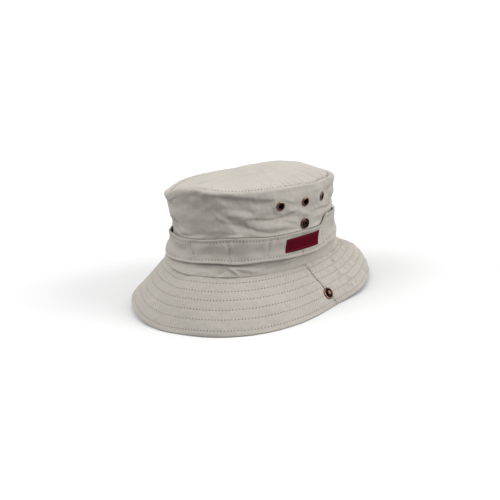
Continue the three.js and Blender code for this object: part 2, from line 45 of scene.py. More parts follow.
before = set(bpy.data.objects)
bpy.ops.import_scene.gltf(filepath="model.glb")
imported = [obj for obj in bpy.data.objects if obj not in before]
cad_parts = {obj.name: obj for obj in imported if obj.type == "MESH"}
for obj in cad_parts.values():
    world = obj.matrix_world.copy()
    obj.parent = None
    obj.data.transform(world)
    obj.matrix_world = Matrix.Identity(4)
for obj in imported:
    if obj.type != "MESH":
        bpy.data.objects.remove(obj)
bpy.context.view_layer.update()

MM = 0.001

# A soft hump at one angle round the head
Hump = namedtuple("Hump", "angle spread size")

# The head opening and the cloth, as the solids have them
HALF_WIDTH = 84
HALF_LENGTH = 104.5
OVAL_BACK = 4.1
OVAL_SQUARENESS = 4.3
OVAL_SKEW = -0.6
SEAM_TWIST = -3
SEAM_DIPS = (Hump(0, 17, -1.8),)
CROWN_CLOTH = 1.6
BRIM_CLOTH = 2.4
BAND_CLOTH = 1
SEWN_GAP = 0.35
SPAN_PER_DEGREE = 1.66
SPAN_PER_LEVEL = 80

# The crown's side: scale is the oval's share of the head opening, height its centre,
# back its shift to the rear, tilt and lean its rise per millimetre to the rear and left
TOP_SEAM_LEVEL = 1.12
Section = namedtuple("Section", "level scale height back tilt lean")
CROWN_SECTIONS = (
    Section(0.00, 1.000, 43.2, 0.0, -0.081, -0.003),
    Section(0.09, 1.010, 50.4, -0.3, -0.063, -0.005),
    Section(0.18, 0.998, 58.0, -0.5, -0.045, -0.006),
    Section(0.31, 0.957, 68.3, 1.4, -0.040, -0.003),
    Section(0.44, 0.942, 78.5, 3.3, -0.036, 0.000),
    Section(0.54, 0.938, 86.5, 4.1, -0.042, 0.003),
    Section(0.78, 0.958, 105.0, 3.4, -0.058, 0.010),
    Section(0.93, 0.984, 117.5, 2.3, -0.068, 0.014),
    Section(1.00, 0.989, 122.8, 2.0, -0.073, 0.015),
    Section(1.04, 0.981, 126.2, 2.0, -0.073, 0.015),
    Section(1.08, 0.954, 128.2, 2.0, -0.073, 0.015),
    Section(TOP_SEAM_LEVEL, 0.918, 127.6, 2.0, -0.073, 0.015),
)

# Soft humps round the head: how far the lip and the top seam rise, and the lip stands out
LIP_RISES = (
    Hump(10, 22, 4),
    Hump(-20, 10, -3.2),
    Hump(-54, 26, -5.6),
    Hump(-38, 15, -2.4),
    Hump(36, 34, -1.2),
    Hump(158, 18, -2),
    Hump(-95, 25, -2.5),
    Hump(-150, 18, 1.2),
)
LIP_PUSHES = (
    Hump(-20, 10, 1.6), Hump(-54, 26, -2.2), Hump(140, 16, 0.8), Hump(-150, 18, -1),
    Hump(30, 42, -3.8), Hump(82, 26, -2.4), Hump(98, 7, 2), Hump(113, 7, -2.6),
)
ROLL_PUSHES = (Hump(80, 32, -3.6),)
WAIST_PUSHES = (Hump(30, 40, 2.2), Hump(-8, 16, 2), Hump(-52, 20, -2.3))
FOOT_PUSHES = (Hump(32, 52, -3),)
SEAM_RISES = (Hump(112, 35, -2.6), Hump(-120, 30, -1.5))
LIP_WAVE_START = 0.5
ROLL_SPAN = (0.84, 1.02)
WAIST_FADE = (0.55, 0.95)
FOOT_START = (0.01, 0.17)
FOOT_FADE = (0.19, 0.44)

# Folds of the slumped side wall, each from one place to another. depth is how far the
# cloth stands out, or in where it is negative, and half_width how far it spreads aside.
Fold = namedtuple("Fold", "from_angle from_level to_angle to_level half_width depth")
CROWN_FOLDS = (
    Fold(33, 0.955, 62, 0.885, 5, -2.6),
    Fold(35, 0.93, 50, 0.83, 4, -1.6),
    Fold(20, 0.9, 33, 0.69, 4.5, -1.6),
    Fold(31, 0.7, 58, 0.56, 4.5, -2.3),
    Fold(27, 0.76, 38, 0.59, 4, 2.2),
    Fold(32, 0.8, 46, 0.755, 4, 2),
    Fold(49, 0.575, 80, 0.575, 5, 2.4),
    Fold(49, 0.71, 80, 0.7, 4.5, -2.6),
    Fold(70, 0.79, 89, 0.66, 4, 1.8),
    Fold(33, 0.53, 42, 0.49, 4, 2),
    Fold(-7, 0.57, 4, 0.51, 4, 2.5),
    Fold(-18, 0.53, -10, 0.51, 4, -2.6),
    Fold(-18, 0.68, -3, 0.61, 5, -2),
    Fold(-24, 0.74, 14, 0.73, 6, 1.8),
    Fold(14, 0.99, 24, 0.86, 4.5, -1.2),
    Fold(-32, 0.9, -16, 0.87, 5, -3.2),
    Fold(112, 0.93, 150, 0.86, 5.5, -1),
    Fold(118, 0.6, 150, 0.72, 5.5, -2.5),
    Fold(140, 0.58, 170, 0.53, 5, 2),
    Fold(160, 0.9, 196, 0.95, 5.5, -3),
    Fold(170, 0.74, 205, 0.62, 5.5, -2.5),
    Fold(210, 0.92, 246, 0.87, 5.5, -3.4),
    Fold(216, 0.57, 250, 0.66, 5, 2.2),
    Fold(228, 0.74, 262, 0.62, 5.5, -2.4),
    Fold(262, 0.975, 300, 0.955, 4.5, -2.6),
    Fold(285, 0.63, 318, 0.72, 5.5, -2.4),
    Fold(300, 0.55, 330, 0.52, 4.5, 2),
)
FOLDS_START = (0.013, 0.068)
FOLDS_END = (1.0, 1.09)
FOLD_BLUNTNESS = 0.15
CREASE_TAPER = 0.6

# Small waves of the cloth: the seed of their draws, their length, how level they lie and
# how far they lift it. Each wave's own length lies between two shares of the given one.
Ripple = namedtuple("Ripple", "seed wavelength flatness depth")
RIPPLE_COUNT = 28
RIPPLE_LENGTHS = (0.75, 1.5)
CROWN_SLUMP = Ripple(11, 30, 3.2, 0.35)
CROWN_RUMPLE = Ripple(12, 12, 2, 0.2)
CROWN_GRAIN = Ripple(13, 5, 1.2, 0.07)
TOP_WAVE = Ripple(31, 34, 1, 0.35)
TOP_SLUMP = Ripple(32, 26, 1, 0.3)
TOP_GRAIN = Ripple(33, 5, 1, 0.05)
BAND_WAVE = Ripple(41, 16, 1.5, 0.3)
BAND_PUCKER = Ripple(42, 6, 0.7, 0.16)
BRIM_PUCKER = Ripple(51, 11, 1, 0.12)
BRIM_SWAY = Ripple(52, 48, 1, 0.45)
BRIM_GRAIN = Ripple(53, 5, 1, 0.05)
BRIM_SEAM_PUCKER = Ripple(54, 7, 0.8, 0.28)
BRIM_CHEVRON = Ripple(55, 9, 1, 0.05)
UNDERSIDE_PUCKER = Ripple(61, 12, 1, 0.2)

# Creases: lines of places where the cloth hangs over, with the higher cloth on the left
# of the line as it runs. drop is how far it falls there, sharp the width of the fall and
# reach how far it bulges aside.
Crease = namedtuple("Crease", "drop sharp reach places")
CROWN_CREASES = (
    Crease(2.1, 1.6, 5, ((18, 0.985), (27, 0.997), (39, 0.985), (50, 0.962), (57, 0.932), (69, 0.902))),
    Crease(1.4, 0.9, 3, ((57, 0.932), (69, 0.902), (75, 0.868), (81, 0.833))),
    Crease(1.4, 2.4, 5, ((-9, 0.95), (-3.5, 0.975), (6, 0.985), (22, 0.985))),
    Crease(0.9, 1.6, 4, ((14, 0.96), (16.5, 0.885), (20, 0.835), (24, 0.775))),
    Crease(2.3, 2, 4.5, ((20, 0.835), (24, 0.775), (29.5, 0.705), (35, 0.675), (43, 0.66))),
    Crease(1.1, 2, 4, ((27, 0.93), (31.5, 0.885), (41, 0.89))),
    Crease(1.4, 1.9, 3.5, ((35, 0.87), (40.5, 0.855), (51.5, 0.815), (59, 0.835))),
    Crease(2.9, 1.3, 4, ((44, 0.73), (53, 0.705), (61, 0.685), (71, 0.69), (76, 0.73), (82, 0.745))),
    Crease(1, 0.8, 2, ((63, 0.845), (66.5, 0.77), (70, 0.72))),
    Crease(2.1, 1.4, 4, ((44.5, 0.655), (46, 0.62), (52.5, 0.57), (60, 0.535))),
    Crease(2.3, 1.5, 3.4, ((61, 0.652), (71, 0.635), (81, 0.57))),
    Crease(1.4, 1.9, 4, ((17, 0.565), (28.5, 0.57), (34, 0.555), (41, 0.535))),
    Crease(3.4, 3, 6, ((-24, 0.67), (-9, 0.64), (-1, 0.6))),
    Crease(1.4, 1.1, 2.5, ((-20, 0.93), (-13, 0.925), (-8, 0.95))),
    Crease(1, 1.1, 2.5, ((76, 0.488), (85, 0.5))),
    Crease(0.9, 1.3, 4.5, ((94, 0.94), (108, 0.9), (122, 0.915), (136, 0.88))),
    Crease(2, 1.4, 4, ((92, 0.67), (104, 0.69), (116, 0.64), (130, 0.65))),
    Crease(1.8, 1.1, 3.5, ((112, 0.56), (124, 0.6), (138, 0.58))),
    Crease(1.7, 1.3, 3.5, ((120, 0.79), (134, 0.76), (148, 0.8), (160, 0.78))),
    Crease(2.6, 1.4, 5, ((148, 0.95), (164, 0.9), (182, 0.93), (196, 0.9))),
    Crease(2.1, 1.4, 4, ((150, 0.62), (168, 0.66), (186, 0.6))),
    Crease(1.8, 1.1, 3.5, ((176, 0.77), (192, 0.72), (206, 0.75))),
    Crease(2.5, 1.4, 4.5, ((204, 0.93), (218, 0.87), (236, 0.9), (250, 0.87))),
    Crease(2, 1.3, 4, ((200, 0.6), (216, 0.65), (234, 0.58))),
    Crease(1.7, 1.1, 3.5, ((222, 0.76), (238, 0.73), (250, 0.77))),
    Crease(2, 1.4, 4, ((244, 0.6), (258, 0.65), (276, 0.6), (288, 0.63))),
    Crease(2.3, 1.3, 4.5, ((268, 0.93), (284, 0.9), (300, 0.94))),
    Crease(2.1, 1.4, 4, ((284, 0.8), (300, 0.74), (318, 0.77), (328, 0.72))),
    Crease(2, 1.3, 4, ((302, 0.62), (316, 0.57), (332, 0.6))),
)
STRIP_FOLDS = (
    Fold(26, 0.02, 34, 0.13, 2.2, -1.7),
    Fold(33, 0.15, 40, 0.05, 1.6, 2),
    Fold(36, 0.13, 52, 0.06, 2.2, 1.8),
    Fold(44, 0.15, 58, 0.11, 1.5, -1.8),
    Fold(58, 0.06, 70, 0.14, 1.6, -2.2),
    Fold(66, 0.1, 86, 0.15, 1.7, 2),
    Fold(6, 0.15, 22, 0.11, 2, -1),
    Fold(12, 0.06, 24, 0.1, 2.4, 0.9),
    Fold(84, 0.13, 106, 0.17, 1.8, 1.3),
    Fold(-14, 0.05, -4, 0.12, 2, -1),
    Fold(128, 0.05, 146, 0.12, 2, -1.2),
    Fold(196, 0.12, 214, 0.06, 2, 1.1),
    Fold(246, 0.05, 262, 0.12, 2, -1.2),
    Fold(300, 0.12, 318, 0.07, 2, 1),
)
STRIP_FADE = (-0.05, -0.005)
STRIP_START = (0, 0.03)

# The top panel, domed up from its seam and fuller toward the rear left
DOME_RISE = 6.9
DOME_POWER = 3.5
DOME_DRIFT = 15
SEAM_WAVE_POWER = 3
TOP_CALM = 0.15
TOP_WAVE_FADE = 6

# Gathers that run in from the top seam: spacing is degrees, length and width millimetres
Gathers = namedtuple("Gathers", "from_angle to_angle spacing length width depth")
TOP_GATHERS = (
    Gathers(62, 150, 5.2, 30, 1.2, 1.2),
    Gathers(150, 330, 9, 18, 1.6, 0.5),
    Gathers(-28, 12, 7, 12, 1.4, 0.55),
    Gathers(24, 30, 8, 22, 1.5, 0.8),
    Gathers(34, 60, 9, 12, 1.5, 0.35),
)
SIDE_GATHERS = (
    Gathers(40, 150, 6.5, 9, 1.6, 0.5),
    Gathers(150, 330, 8, 9, 1.6, 0.5),
    Gathers(-28, 38, 6, 8, 1.5, 0.4),
)

# How the gathers vary: their shift as a share of the spacing, their slant, and the range
# of their length and depth
SIDE_GATHER_SEED = 21
TOP_GATHER_SEED = 22
SIDE_GATHER_START = (0.9, 1)
GATHER_SHIFT = 0.35
GATHER_SLANT = 0.25
GATHER_LENGTHS = (0.5, 1.15)
GATHER_DEPTHS = (0.5, 1.2)

# The hat band: foot and head are a tack's angles at the band's two edges, loop the
# cloth's stand-off from there to the next tack, gape how far the upper edge opens
BAND_FOOT = 0.19
BAND_HEAD = 0.452
BAND_HEIGHT = 21
Loop = namedtuple("Loop", "foot head loop gape")
BAND_LOOPS = (
    Loop(11, 3, 1.1, 0.3),
    Loop(35.5, 32.5, 1.1, 0.2),
    Loop(59.3, 59.5, 0.9, 0.2),
    Loop(82.7, 82, 0.8, 0.3),
    Loop(103.8, 102.5, 1.5, 0.3),
    Loop(134, 134, 1.5, 0.4),
    Loop(158, 158, 1.4, 0.3),
    Loop(183, 183, 1.5, 0.4),
    Loop(211, 211, 1.4, 0.3),
    Loop(239, 239, 1.3, 0.3),
    Loop(263, 263, 1.2, 0.3),
    Loop(286, 286, 1.5, 0.4),
    Loop(314, 318, 0.5, 2),
)
BAND_LEAN = 1
BAND_HEAD_RISES = (
    Hump(-38, 14, 2.6), Hump(-15, 8, 3), Hump(20, 26, 2), Hump(40, 16, 2.6), Hump(72, 14, 1.1),
)
BAND_STEP = 9.3
BAND_STEP_UP = (101, 109)
BAND_STEP_DOWN = (130, 152)
BAND_FOOT_RISES = (
    Hump(88, 22, -3.2), Hump(64, 11, -1.3), Hump(-20, 22, -5), Hump(12, 16, -2), Hump(42, 14, -3),
)

# The band's rows of stitches as shares of its height, its hems, the puckers beside the
# stitches, and how the crown's cloth lies under the band and swells above it
BAND_STITCH_ROWS = (0.13, 0.875)
BAND_HEM = 0.45
BAND_HEM_EDGE = (0.02, 0.06)
TACK_PUCKER_SPREAD = 7
HEM_PUCKER_SPREAD = 3
TACK_CALM = 4
BAND_TUCK = 0.2
UNDER_FOOT = (-0.012, 0.01)
UNDER_HEAD = (-0.01, 0.012)
FOOT_TUCK = 0.9
FOOT_TUCK_DROP = 0.3
FOOT_TUCK_SPREAD = 1.2
BAND_SWELLS = (
    Hump(38, 5, 3.2), Hump(69, 13, 3.2), Hump(6, 8, 1.4), Hump(96, 6, 1.5), Hump(150, 14, 2.4),
    Hump(200, 18, 2.8), Hump(250, 16, 2.4), Hump(295, 12, 2.2),
)
SWELL_RISE = 0.013
SWELL_SPREAD = 0.02

# The label on the band
LABEL_ANGLE = 84.4
LABEL_WIDTH = 46.5
LABEL_FOOT = 0.2195
LABEL_HEAD = 0.4065
LABEL_SEAT = 0.45
LABEL_SKEW = 2.2
LABEL_THICKNESS = 0.8
LABEL_STITCH_INSET = 1.5
LABEL_STITCH_PITCH = 2.4
LABEL_STITCH_SINK = 0.2
LABEL_NORMAL_STEP = 2
LABEL_GROOVE = 0.22
LABEL_GROOVE_WIDTH = 0.6

# The brim
BRIM_WIDTH = 55
BRIM_FRONT_GAIN = 9.5
BRIM_BOW = 3
BRIM_WIDTHS = (Hump(14, 14, -1.6), Hump(52, 22, 2.5), Hump(90, 12, -1.5), Hump(112, 12, 2.2))
BRIM_BOWS = (Hump(140, 30, 4), Hump(-50, 35, -3.5))
EDGE_LIFT_LEFT_REAR = 7.2
EDGE_LIFT_RIGHT_FRONT = 8.7
EDGE_LIFT_POWER = 1.5
BRIM_SEAM_ACROSS = (60, 93, 102, 130)
BRIM_SEAM_REAR = (-2.9, -2.9, 0.6, 21.6)
BRIM_SEAM_BETWEEN = (60, 120)
BRIM_SEAM_STEPS = 40
BRIM_STITCH_ROWS = (0.10, 0.25, 0.40, 0.56, 0.72, 0.895)

# Puffs of the brim between its rows, with more puckers at the back, and its side seam
BRIM_PUFF = 0.1
PUFF_WIDTH = 3.5
BACK_START = (-0.35, 0.05)
BACK_PUCKER = 0.1
BACK_CHEVRON = 0.38
CHEVRON_SLANT = 0.4
EDGE_CALM = 4
SEAM_TURN_HEIGHT = 0.3
SEAM_TURN_FADE = (1, 2.5)
SEAM_PUCKER_SPREAD = 9
SEAM_CALM = 0.08

# Other rows of stitches, by their distance from the seam or edge that they follow
ROOT_STITCH_INSET = 1.6
TOP_STITCH_LEVEL = 1.082
TOP_HOLE_STRETCH = 1.5
TOP_HOLE_INSET = 1
SEAM_STITCH_INSET = 2.6
SEAM_CLEAR = 1.2
SEAM_END_CLEAR = 3
TACK_PITCH = 2.6

# The share of light that a needle hole loses, on most of the cloth, the band and the top
HOLE_SHADE = 0.54
BAND_HOLE_SHADE = 0.4
TOP_HOLE_SHADE = 0.74

# How the cloth turns at its seams and edges, and how it sinks under a row of stitches
ROLL_DROP = 0.6
ROLL_DROP_SPAN = (1.02, 1.08)
ROLL_DROP_SPREAD = 3
ROOT_TURN = 1.1
ROOT_TURN_SPREAD = 2.6
STRIP_HOLLOW = 1.2
STRIP_HOLLOW_RISE = 8
STRIP_HOLLOW_SPREAD = 4.5
ROOT_ROUNDING = 0.7
TOP_ROUNDING = 0.4
GROOVE_WIDTH = 0.9
TOP_GROOVE = 0.12
ROW_GROOVE = 0.25
TACK_GROOVE = 0.45
TACK_GROOVE_WIDTH = 1.2

# The sewing thread: its arch and how far its ends sink in, in thread radii, the share of a
# pitch that stays free at a row's end, and the edge of a needle hole in millimetres
THREAD_ARCH = 2.6
THREAD_SINK = 1.3
ROW_END_SHARE = 0.4
NEEDLE_HOLE_EDGE = (0.35, 0.85)

# How uneven each colour is, and how the height of the twill's ribs lights the cloth
CLOTH_MOTTLE = 0.16
THREAD_MOTTLE = 0.3
LABEL_MOTTLE = 0.35
RIB_LIGHT = 0.22
RIB_SHADE = 0.81
HOLE_DENT = 0.0002
LABEL_WEAVE_DEPTH = 0.0001
METAL_DENT = 0.00008

# Places of the metal fittings
Place = namedtuple("Place", "angle level")
EYELET_PLACES = (Place(69.5, 0.832), Place(88.5, 0.828), Place(105.5, 0.835))
SOCKET_PLACE = Place(86.3, 0.545)
STUD_PLACE = Place(89.3, 0.715)
FITTING_PLACES = {
    "eyelet": EYELET_PLACES, "snap_socket": (SOCKET_PLACE,), "snap_stud": (STUD_PLACE,),
}
SEAT_RADIUS = 5.8
SEAT_BLEND = 11
STUD_CALM = (5, 10)
BACK_GAP = 0.55
EYELET_HOLE = 3.1
SOCKET_HOLE = 2.2
STUD_COVER = 6.9
HOLE_DEPTH = 12

# Half sections of the fittings from back to front. bright is how far the plating is rubbed bare
# there, from 0 in the dark recesses to 1 on the rims. The dark of the recesses and holes is partly
# patina and partly painted shade.
Turn = namedtuple("Turn", "radius height bright")
EYELET_SEAT = 0.45
EYELET_BACK = (
    Turn(2.3, -0.6, 0.5), Turn(3.9, -0.6, 0.8), Turn(4.2, 0, 0.8), Turn(2.9, 0, 0.2),
)
EYELET_FRONT = (
    Turn(2.9, 0, 0.2), Turn(4.8, -0.1, 0.5), Turn(4.75, 0.5, 0.8), Turn(3.9, 0.95, 0.85),
    Turn(3.0, 0.8, 0.15), Turn(2.45, 0.2, -0.2), Turn(2.3, -0.4, -0.3),
)
SOCKET_SEAT = 0.65
SOCKET_BACK = (
    Turn(0, -1.1, 0.6), Turn(4.7, -0.9, 0.8), Turn(5, 0, 0.7), Turn(1.9, 0, 0.2),
)
SOCKET_FRONT = (
    Turn(1.9, 0, 0.1), Turn(5.2, -0.1, 0.1), Turn(5.6, 0.5, 0.3), Turn(5.5, 1.2, 0.7),
    Turn(5.1, 1.55, 1.1), Turn(4.65, 1.45, 0.1), Turn(4.4, 1.0, -0.2), Turn(4.1, 0.3, -0.3),
    Turn(3.2, 0.2, -0.3), Turn(2.9, 0.9, -0.1), Turn(2.6, 1.2, 0.8), Turn(2.2, 1.15, 0),
    Turn(1.95, 0.8, -0.2), Turn(1.8, -0.2, -0.3), Turn(0, -0.25, -0.3),
)
STUD_SEAT = 0.5
STUD_BACK = (
    Turn(0, -1.1, 0.6), Turn(4.3, -0.9, 0.8), Turn(4.6, 0, 0.7), Turn(1.9, 0, 0.2),
)
STUD_FRONT = (
    Turn(1.9, 0, 0.1), Turn(6.0, -0.1, 0.2), Turn(6.4, 0.4, 0.7), Turn(6.2, 0.95, 1),
    Turn(5.6, 1.15, 0.8), Turn(5.0, 0.95, 0.1), Turn(4.7, 0.4, 0), Turn(4.2, 0.2, 0),
    Turn(2.2, 0.2, 0), Turn(1.85, 0.5, 0), Turn(1.85, 1.4, 0.1), Turn(2.3, 1.9, 0.4),
    Turn(2.3, 2.4, 0.6), Turn(1.6, 2.85, 0.7), Turn(0, 2.9, 0.5),
)
FITTING_SIDES = 48
PROFILE_STEPS = 4
PROFILE_ROUNDNESS = 0.35

# How finely the cloth is meshed, in millimetres between rows and faces round the hat
CROWN_COLUMNS = 640
TOP_COLUMNS = 640
BAND_COLUMNS = 640
PANEL_COLUMNS = 440
PANEL_LENGTH = 380
BRIM_SPAN_PER_DEGREE = 2.2
ROW_STEP = 0.85
ROOT_LIFT = 0.1
ROOT_LIFT_REACH = 2
INNER_STEP = 3.5
LABEL_STEP = 0.7
EDGE_ROLL = 0.75
SEAM_SHUT = 0.05
ROLL_STEPS = (0, 0.12, 0.35, 0.7, 1)
RIM_STEPS = 6
ROW_SAMPLES = 2400
TINY = 1e-3
TANGENT_STEP = 0.01
POLE_REACH = 0.02
FAR_AWAY = 100.0

# The camera, fitted to the photograph's frame: millimetres and degrees
CAMERA_TARGET = (-3.29, 0.8, 43.61)
CAMERA_AZIMUTH = 45.0
CAMERA_ELEVATION = 18.1
CAMERA_ROLL = 4.55
CAMERA_DISTANCE = 907.7
CAMERA_LENS = 57.9
SENSOR_WIDTH = 36

# The studio: broad far lights with the direction each comes from, their width in degrees
# and their strength, the open sky round them, brighter at the horizon, and the floor
BroadLight = namedtuple("BroadLight", "name toward width strength")
STUDIO_LIGHTS = (
    BroadLight("light_overhead", (0, 0, 1), 90, 1.7),
    BroadLight("light_left", (-0.6, -0.7, 0.65), 50, 1.65),
    BroadLight("light_right", (1, 0.6, 0.6), 40, 2.3),
    BroadLight("light_behind", (-0.3, 0.8, 1), 50, 0.4),
)
SKY_STRENGTH = 0.28
HORIZON_STRENGTH = 1.05
HORIZON_SINE = 0.06
FLOOR_HALF = 60


# Surfaces of the hat, in millimetres, for arrays of places


def smoothstep(low, high, value):
    """A soft step from 0 at low to 1 at high."""
    share = np.clip((value - low) / (high - low), 0, 1)
    return share * share * (3 - 2 * share)


def bell(distance, spread):
    """A soft hump, 1 at distance 0."""
    return np.exp(-((distance / spread) ** 2))


def unit(vectors):
    """Vectors brought to the length 1."""
    return vectors / np.linalg.norm(vectors, axis=-1, keepdims=True)


def curve_between(start, end, slope_in, slope_out, share):
    """A place on the smooth curve from start to end that has these slopes at its ends."""
    rise = end - start
    bend = 3 * rise - 2 * slope_in - slope_out + share * (slope_in + slope_out - 2 * rise)
    return start + share * (slope_in + share * bend)


def turned(angle):
    """Angles brought into the range from -180 to 180."""
    return (angle + 180) % 360 - 180


def humps(table, angle):
    """Sum of a table of soft humps round the head."""
    total = 0 * angle
    for hump in table:
        total = total + hump.size * bell(turned(angle - hump.angle), hump.spread)
    return total


def section_value(column, level):
    """One column of the section table at any level, as a smooth curve through its rows."""
    levels = np.array([section.level for section in CROWN_SECTIONS])
    values = np.array([getattr(section, column) for section in CROWN_SECTIONS])
    last = len(levels) - 1
    low = np.clip(np.searchsorted(levels, level, side="right") - 1, 0, last - 1)
    high = low + 1
    before = np.maximum(low - 1, 0)
    after = np.minimum(low + 2, last)
    span = levels[high] - levels[low]
    slope_in = (values[high] - values[before]) / (levels[high] - levels[before]) * span
    slope_out = (values[after] - values[low]) / (levels[after] - levels[low]) * span
    share = (level - levels[low]) / span
    return curve_between(values[low], values[high], slope_in, slope_out, share)


def outward_at(angle):
    """Level direction that points straight out of the head oval."""
    radians = np.radians(angle)
    across = np.sin(radians) / HALF_WIDTH
    along = -np.cos(radians) / HALF_LENGTH
    size = np.hypot(across, along)
    return np.stack([across / size, along / size, 0 * across], -1)


def crown_form(angle, level):
    """The crown's side without its folds."""
    angle, level = np.broadcast_arrays(np.asarray(angle, float), np.asarray(level, float))
    radians = np.radians(angle)
    scale = section_value("scale", level)
    x = scale * HALF_WIDTH * np.sin(radians)
    y = -scale * HALF_LENGTH * np.cos(radians) + section_value("back", level)
    z = section_value("height", level) + section_value("tilt", level) * y
    z = z + section_value("lean", level) * x
    seam_share = 1 - smoothstep(0, BAND_FOOT, level)
    foot_share = smoothstep(*FOOT_START, level) * (1 - smoothstep(*FOOT_FADE, level))
    waist_share = smoothstep(BAND_FOOT, BAND_HEAD, level) * (1 - smoothstep(*WAIST_FADE, level))
    lip_share = smoothstep(LIP_WAVE_START, 1, level)
    push = OVAL_SQUARENESS * np.cos(2 * radians) + OVAL_SKEW * np.sin(2 * radians)
    push = push * seam_share + humps(LIP_PUSHES, angle) * lip_share
    push = push + humps(ROLL_PUSHES, angle) * smoothstep(*ROLL_SPAN, level)
    push = push + humps(WAIST_PUSHES, angle) * waist_share
    push = push + humps(FOOT_PUSHES, angle) * foot_share
    z = z + (SEAM_TWIST * np.sin(2 * radians) + humps(SEAM_DIPS, angle)) * seam_share
    z = z + humps(LIP_RISES, angle) * lip_share
    z = z + humps(SEAM_RISES, angle) * smoothstep(1, TOP_SEAM_LEVEL, level)
    return np.stack([x, y + OVAL_BACK, z], -1) + outward_at(angle) * push[..., None]


def normal_of(surface, angle, place):
    """Normal of a surface given as a function of angle and a second place."""
    across = surface(angle + TINY, place) - surface(angle - TINY, place)
    along = surface(angle, place + TINY) - surface(angle, place - TINY)
    return unit(np.cross(across, along))


def lifted(points, normals, height):
    """Places moved out along their normals."""
    return points + normals * np.asarray(height)[..., None]


def cloth_offset(angle, level, from_angle, from_level):
    """Millimetres round and up the crown's side from one place to others."""
    return turned(angle - from_angle) * SPAN_PER_DEGREE, (level - from_level) * SPAN_PER_LEVEL


def segment_place(here, ahead):
    """Distance from the segment that runs from 0 to ahead, and the share along it."""
    share = (here[0] * ahead[0] + here[1] * ahead[1]) / (ahead[0] ** 2 + ahead[1] ** 2)
    share = np.clip(share, 0, 1)
    return np.hypot(here[0] - share * ahead[0], here[1] - share * ahead[1]), share


def fold_sum(table, angle, level):
    """How far all folds of a table together stand out."""
    total = 0 * angle
    for fold in table:
        start, end = (fold.from_angle, fold.from_level), (fold.to_angle, fold.to_level)
        aside, share = segment_place(cloth_offset(angle, level, *start), cloth_offset(*end, *start))
        taper = np.sin(np.pi * (FOLD_BLUNTNESS + (1 - 2 * FOLD_BLUNTNESS) * share))
        total = total + fold.depth * taper * bell(aside, fold.half_width)
    return total


def crease_sum(table, angle, level):
    """How far all creases of a table together stand out or sink in."""
    total = 0 * angle
    for crease in table:
        nearest = FAR_AWAY + 0 * total
        along = 0 * total
        spans = list(zip(crease.places, crease.places[1:]))
        for i, (start, end) in enumerate(spans):
            here, ahead = cloth_offset(angle, level, *start), cloth_offset(*end, *start)
            away, share = segment_place(here, ahead)
            away = away * np.sign(ahead[0] * here[1] - ahead[1] * here[0])
            closer = np.abs(away) < np.abs(nearest)
            nearest = np.where(closer, away, nearest)
            along = np.where(closer, (i + share) / len(spans), along)
        taper = np.sin(np.pi * along) ** CREASE_TAPER
        shape = np.tanh(nearest / crease.sharp) * bell(nearest, crease.reach)
        total = total + crease.drop / 2 * taper * shape
    return total


def band_foot(angle):
    """Level of the band's lower edge."""
    return BAND_FOOT + humps(BAND_FOOT_RISES, angle) / SPAN_PER_LEVEL


def band_head(angle):
    """Level of the band's upper edge, which steps up behind the label."""
    here = turned(angle)
    step = smoothstep(*BAND_STEP_UP, here) - smoothstep(*BAND_STEP_DOWN, here)
    return BAND_HEAD + (humps(BAND_HEAD_RISES, angle) + BAND_STEP * step) / SPAN_PER_LEVEL


def clear_of_fittings(angle, level):
    """1 where the crown's cloth is free to fold, and 0 round the fittings."""
    freedom = 1 + 0 * angle
    for place in (*EYELET_PLACES, SOCKET_PLACE):
        for side in (1, -1):
            aside = np.hypot(*cloth_offset(angle, level, side * place.angle, place.level))
            freedom = freedom * smoothstep(SEAT_RADIUS, SEAT_BLEND, aside)
    return freedom


def fold_freedom(angle, level):
    """1 where the crown's side is slack, between the band and the lip."""
    above_band = smoothstep(*FOLDS_START, level - band_head(angle))
    return above_band * (1 - smoothstep(*FOLDS_END, level)) * clear_of_fittings(angle, level)


def ripples(points, wave):
    """A smooth random field of waves, about -1 to 1."""
    draw = np.random.default_rng(wave.seed)
    total = np.zeros(points.shape[:-1])
    for _ in range(RIPPLE_COUNT):
        direction = draw.normal(size=3) * (1 / wave.flatness, 1 / wave.flatness, 1)
        length = wave.wavelength * draw.uniform(*RIPPLE_LENGTHS)
        direction *= 2 * math.pi / (length * np.linalg.norm(direction))
        total += np.cos(points @ direction + draw.uniform(0, 2 * math.pi))
    return total / math.sqrt(RIPPLE_COUNT / 2)


def rippled(points, wave):
    """How far a random field of waves lifts the cloth."""
    return wave.depth * ripples(points, wave)


def slumped(points, wave):
    """How far rounded bulges with narrow dips between them lift the cloth."""
    return wave.depth * (1 - np.abs(ripples(points, wave)))


def gather_depth(table, angle, distance, seed):
    """Short creases that run away from a seam, at one distance from it."""
    draw = np.random.default_rng(seed)
    total = 0 * angle
    for row in table:
        for centre in np.arange(row.from_angle, row.to_angle, row.spacing):
            here = centre + draw.uniform(-GATHER_SHIFT, GATHER_SHIFT) * row.spacing
            slant = draw.uniform(-GATHER_SLANT, GATHER_SLANT)
            length = row.length * draw.uniform(*GATHER_LENGTHS)
            depth = row.depth * draw.uniform(*GATHER_DEPTHS)
            aside = turned(angle - here) * SPAN_PER_DEGREE - slant * distance
            width = row.width * (1 + distance / length)
            total = total - depth * bell(distance, length) ** 2 * bell(aside, width)
    return total


def edge_sink(distance, radius=EDGE_ROLL):
    """How far a rounded cloth edge sinks at a distance from its end."""
    left = np.clip(radius - distance, 0, radius)
    return radius - np.sqrt(np.maximum(radius**2 - left**2, 0))


def groove(distance, depth, width=GROOVE_WIDTH):
    """The furrow that a row of stitches draws into the cloth."""
    return -depth * bell(distance, width)


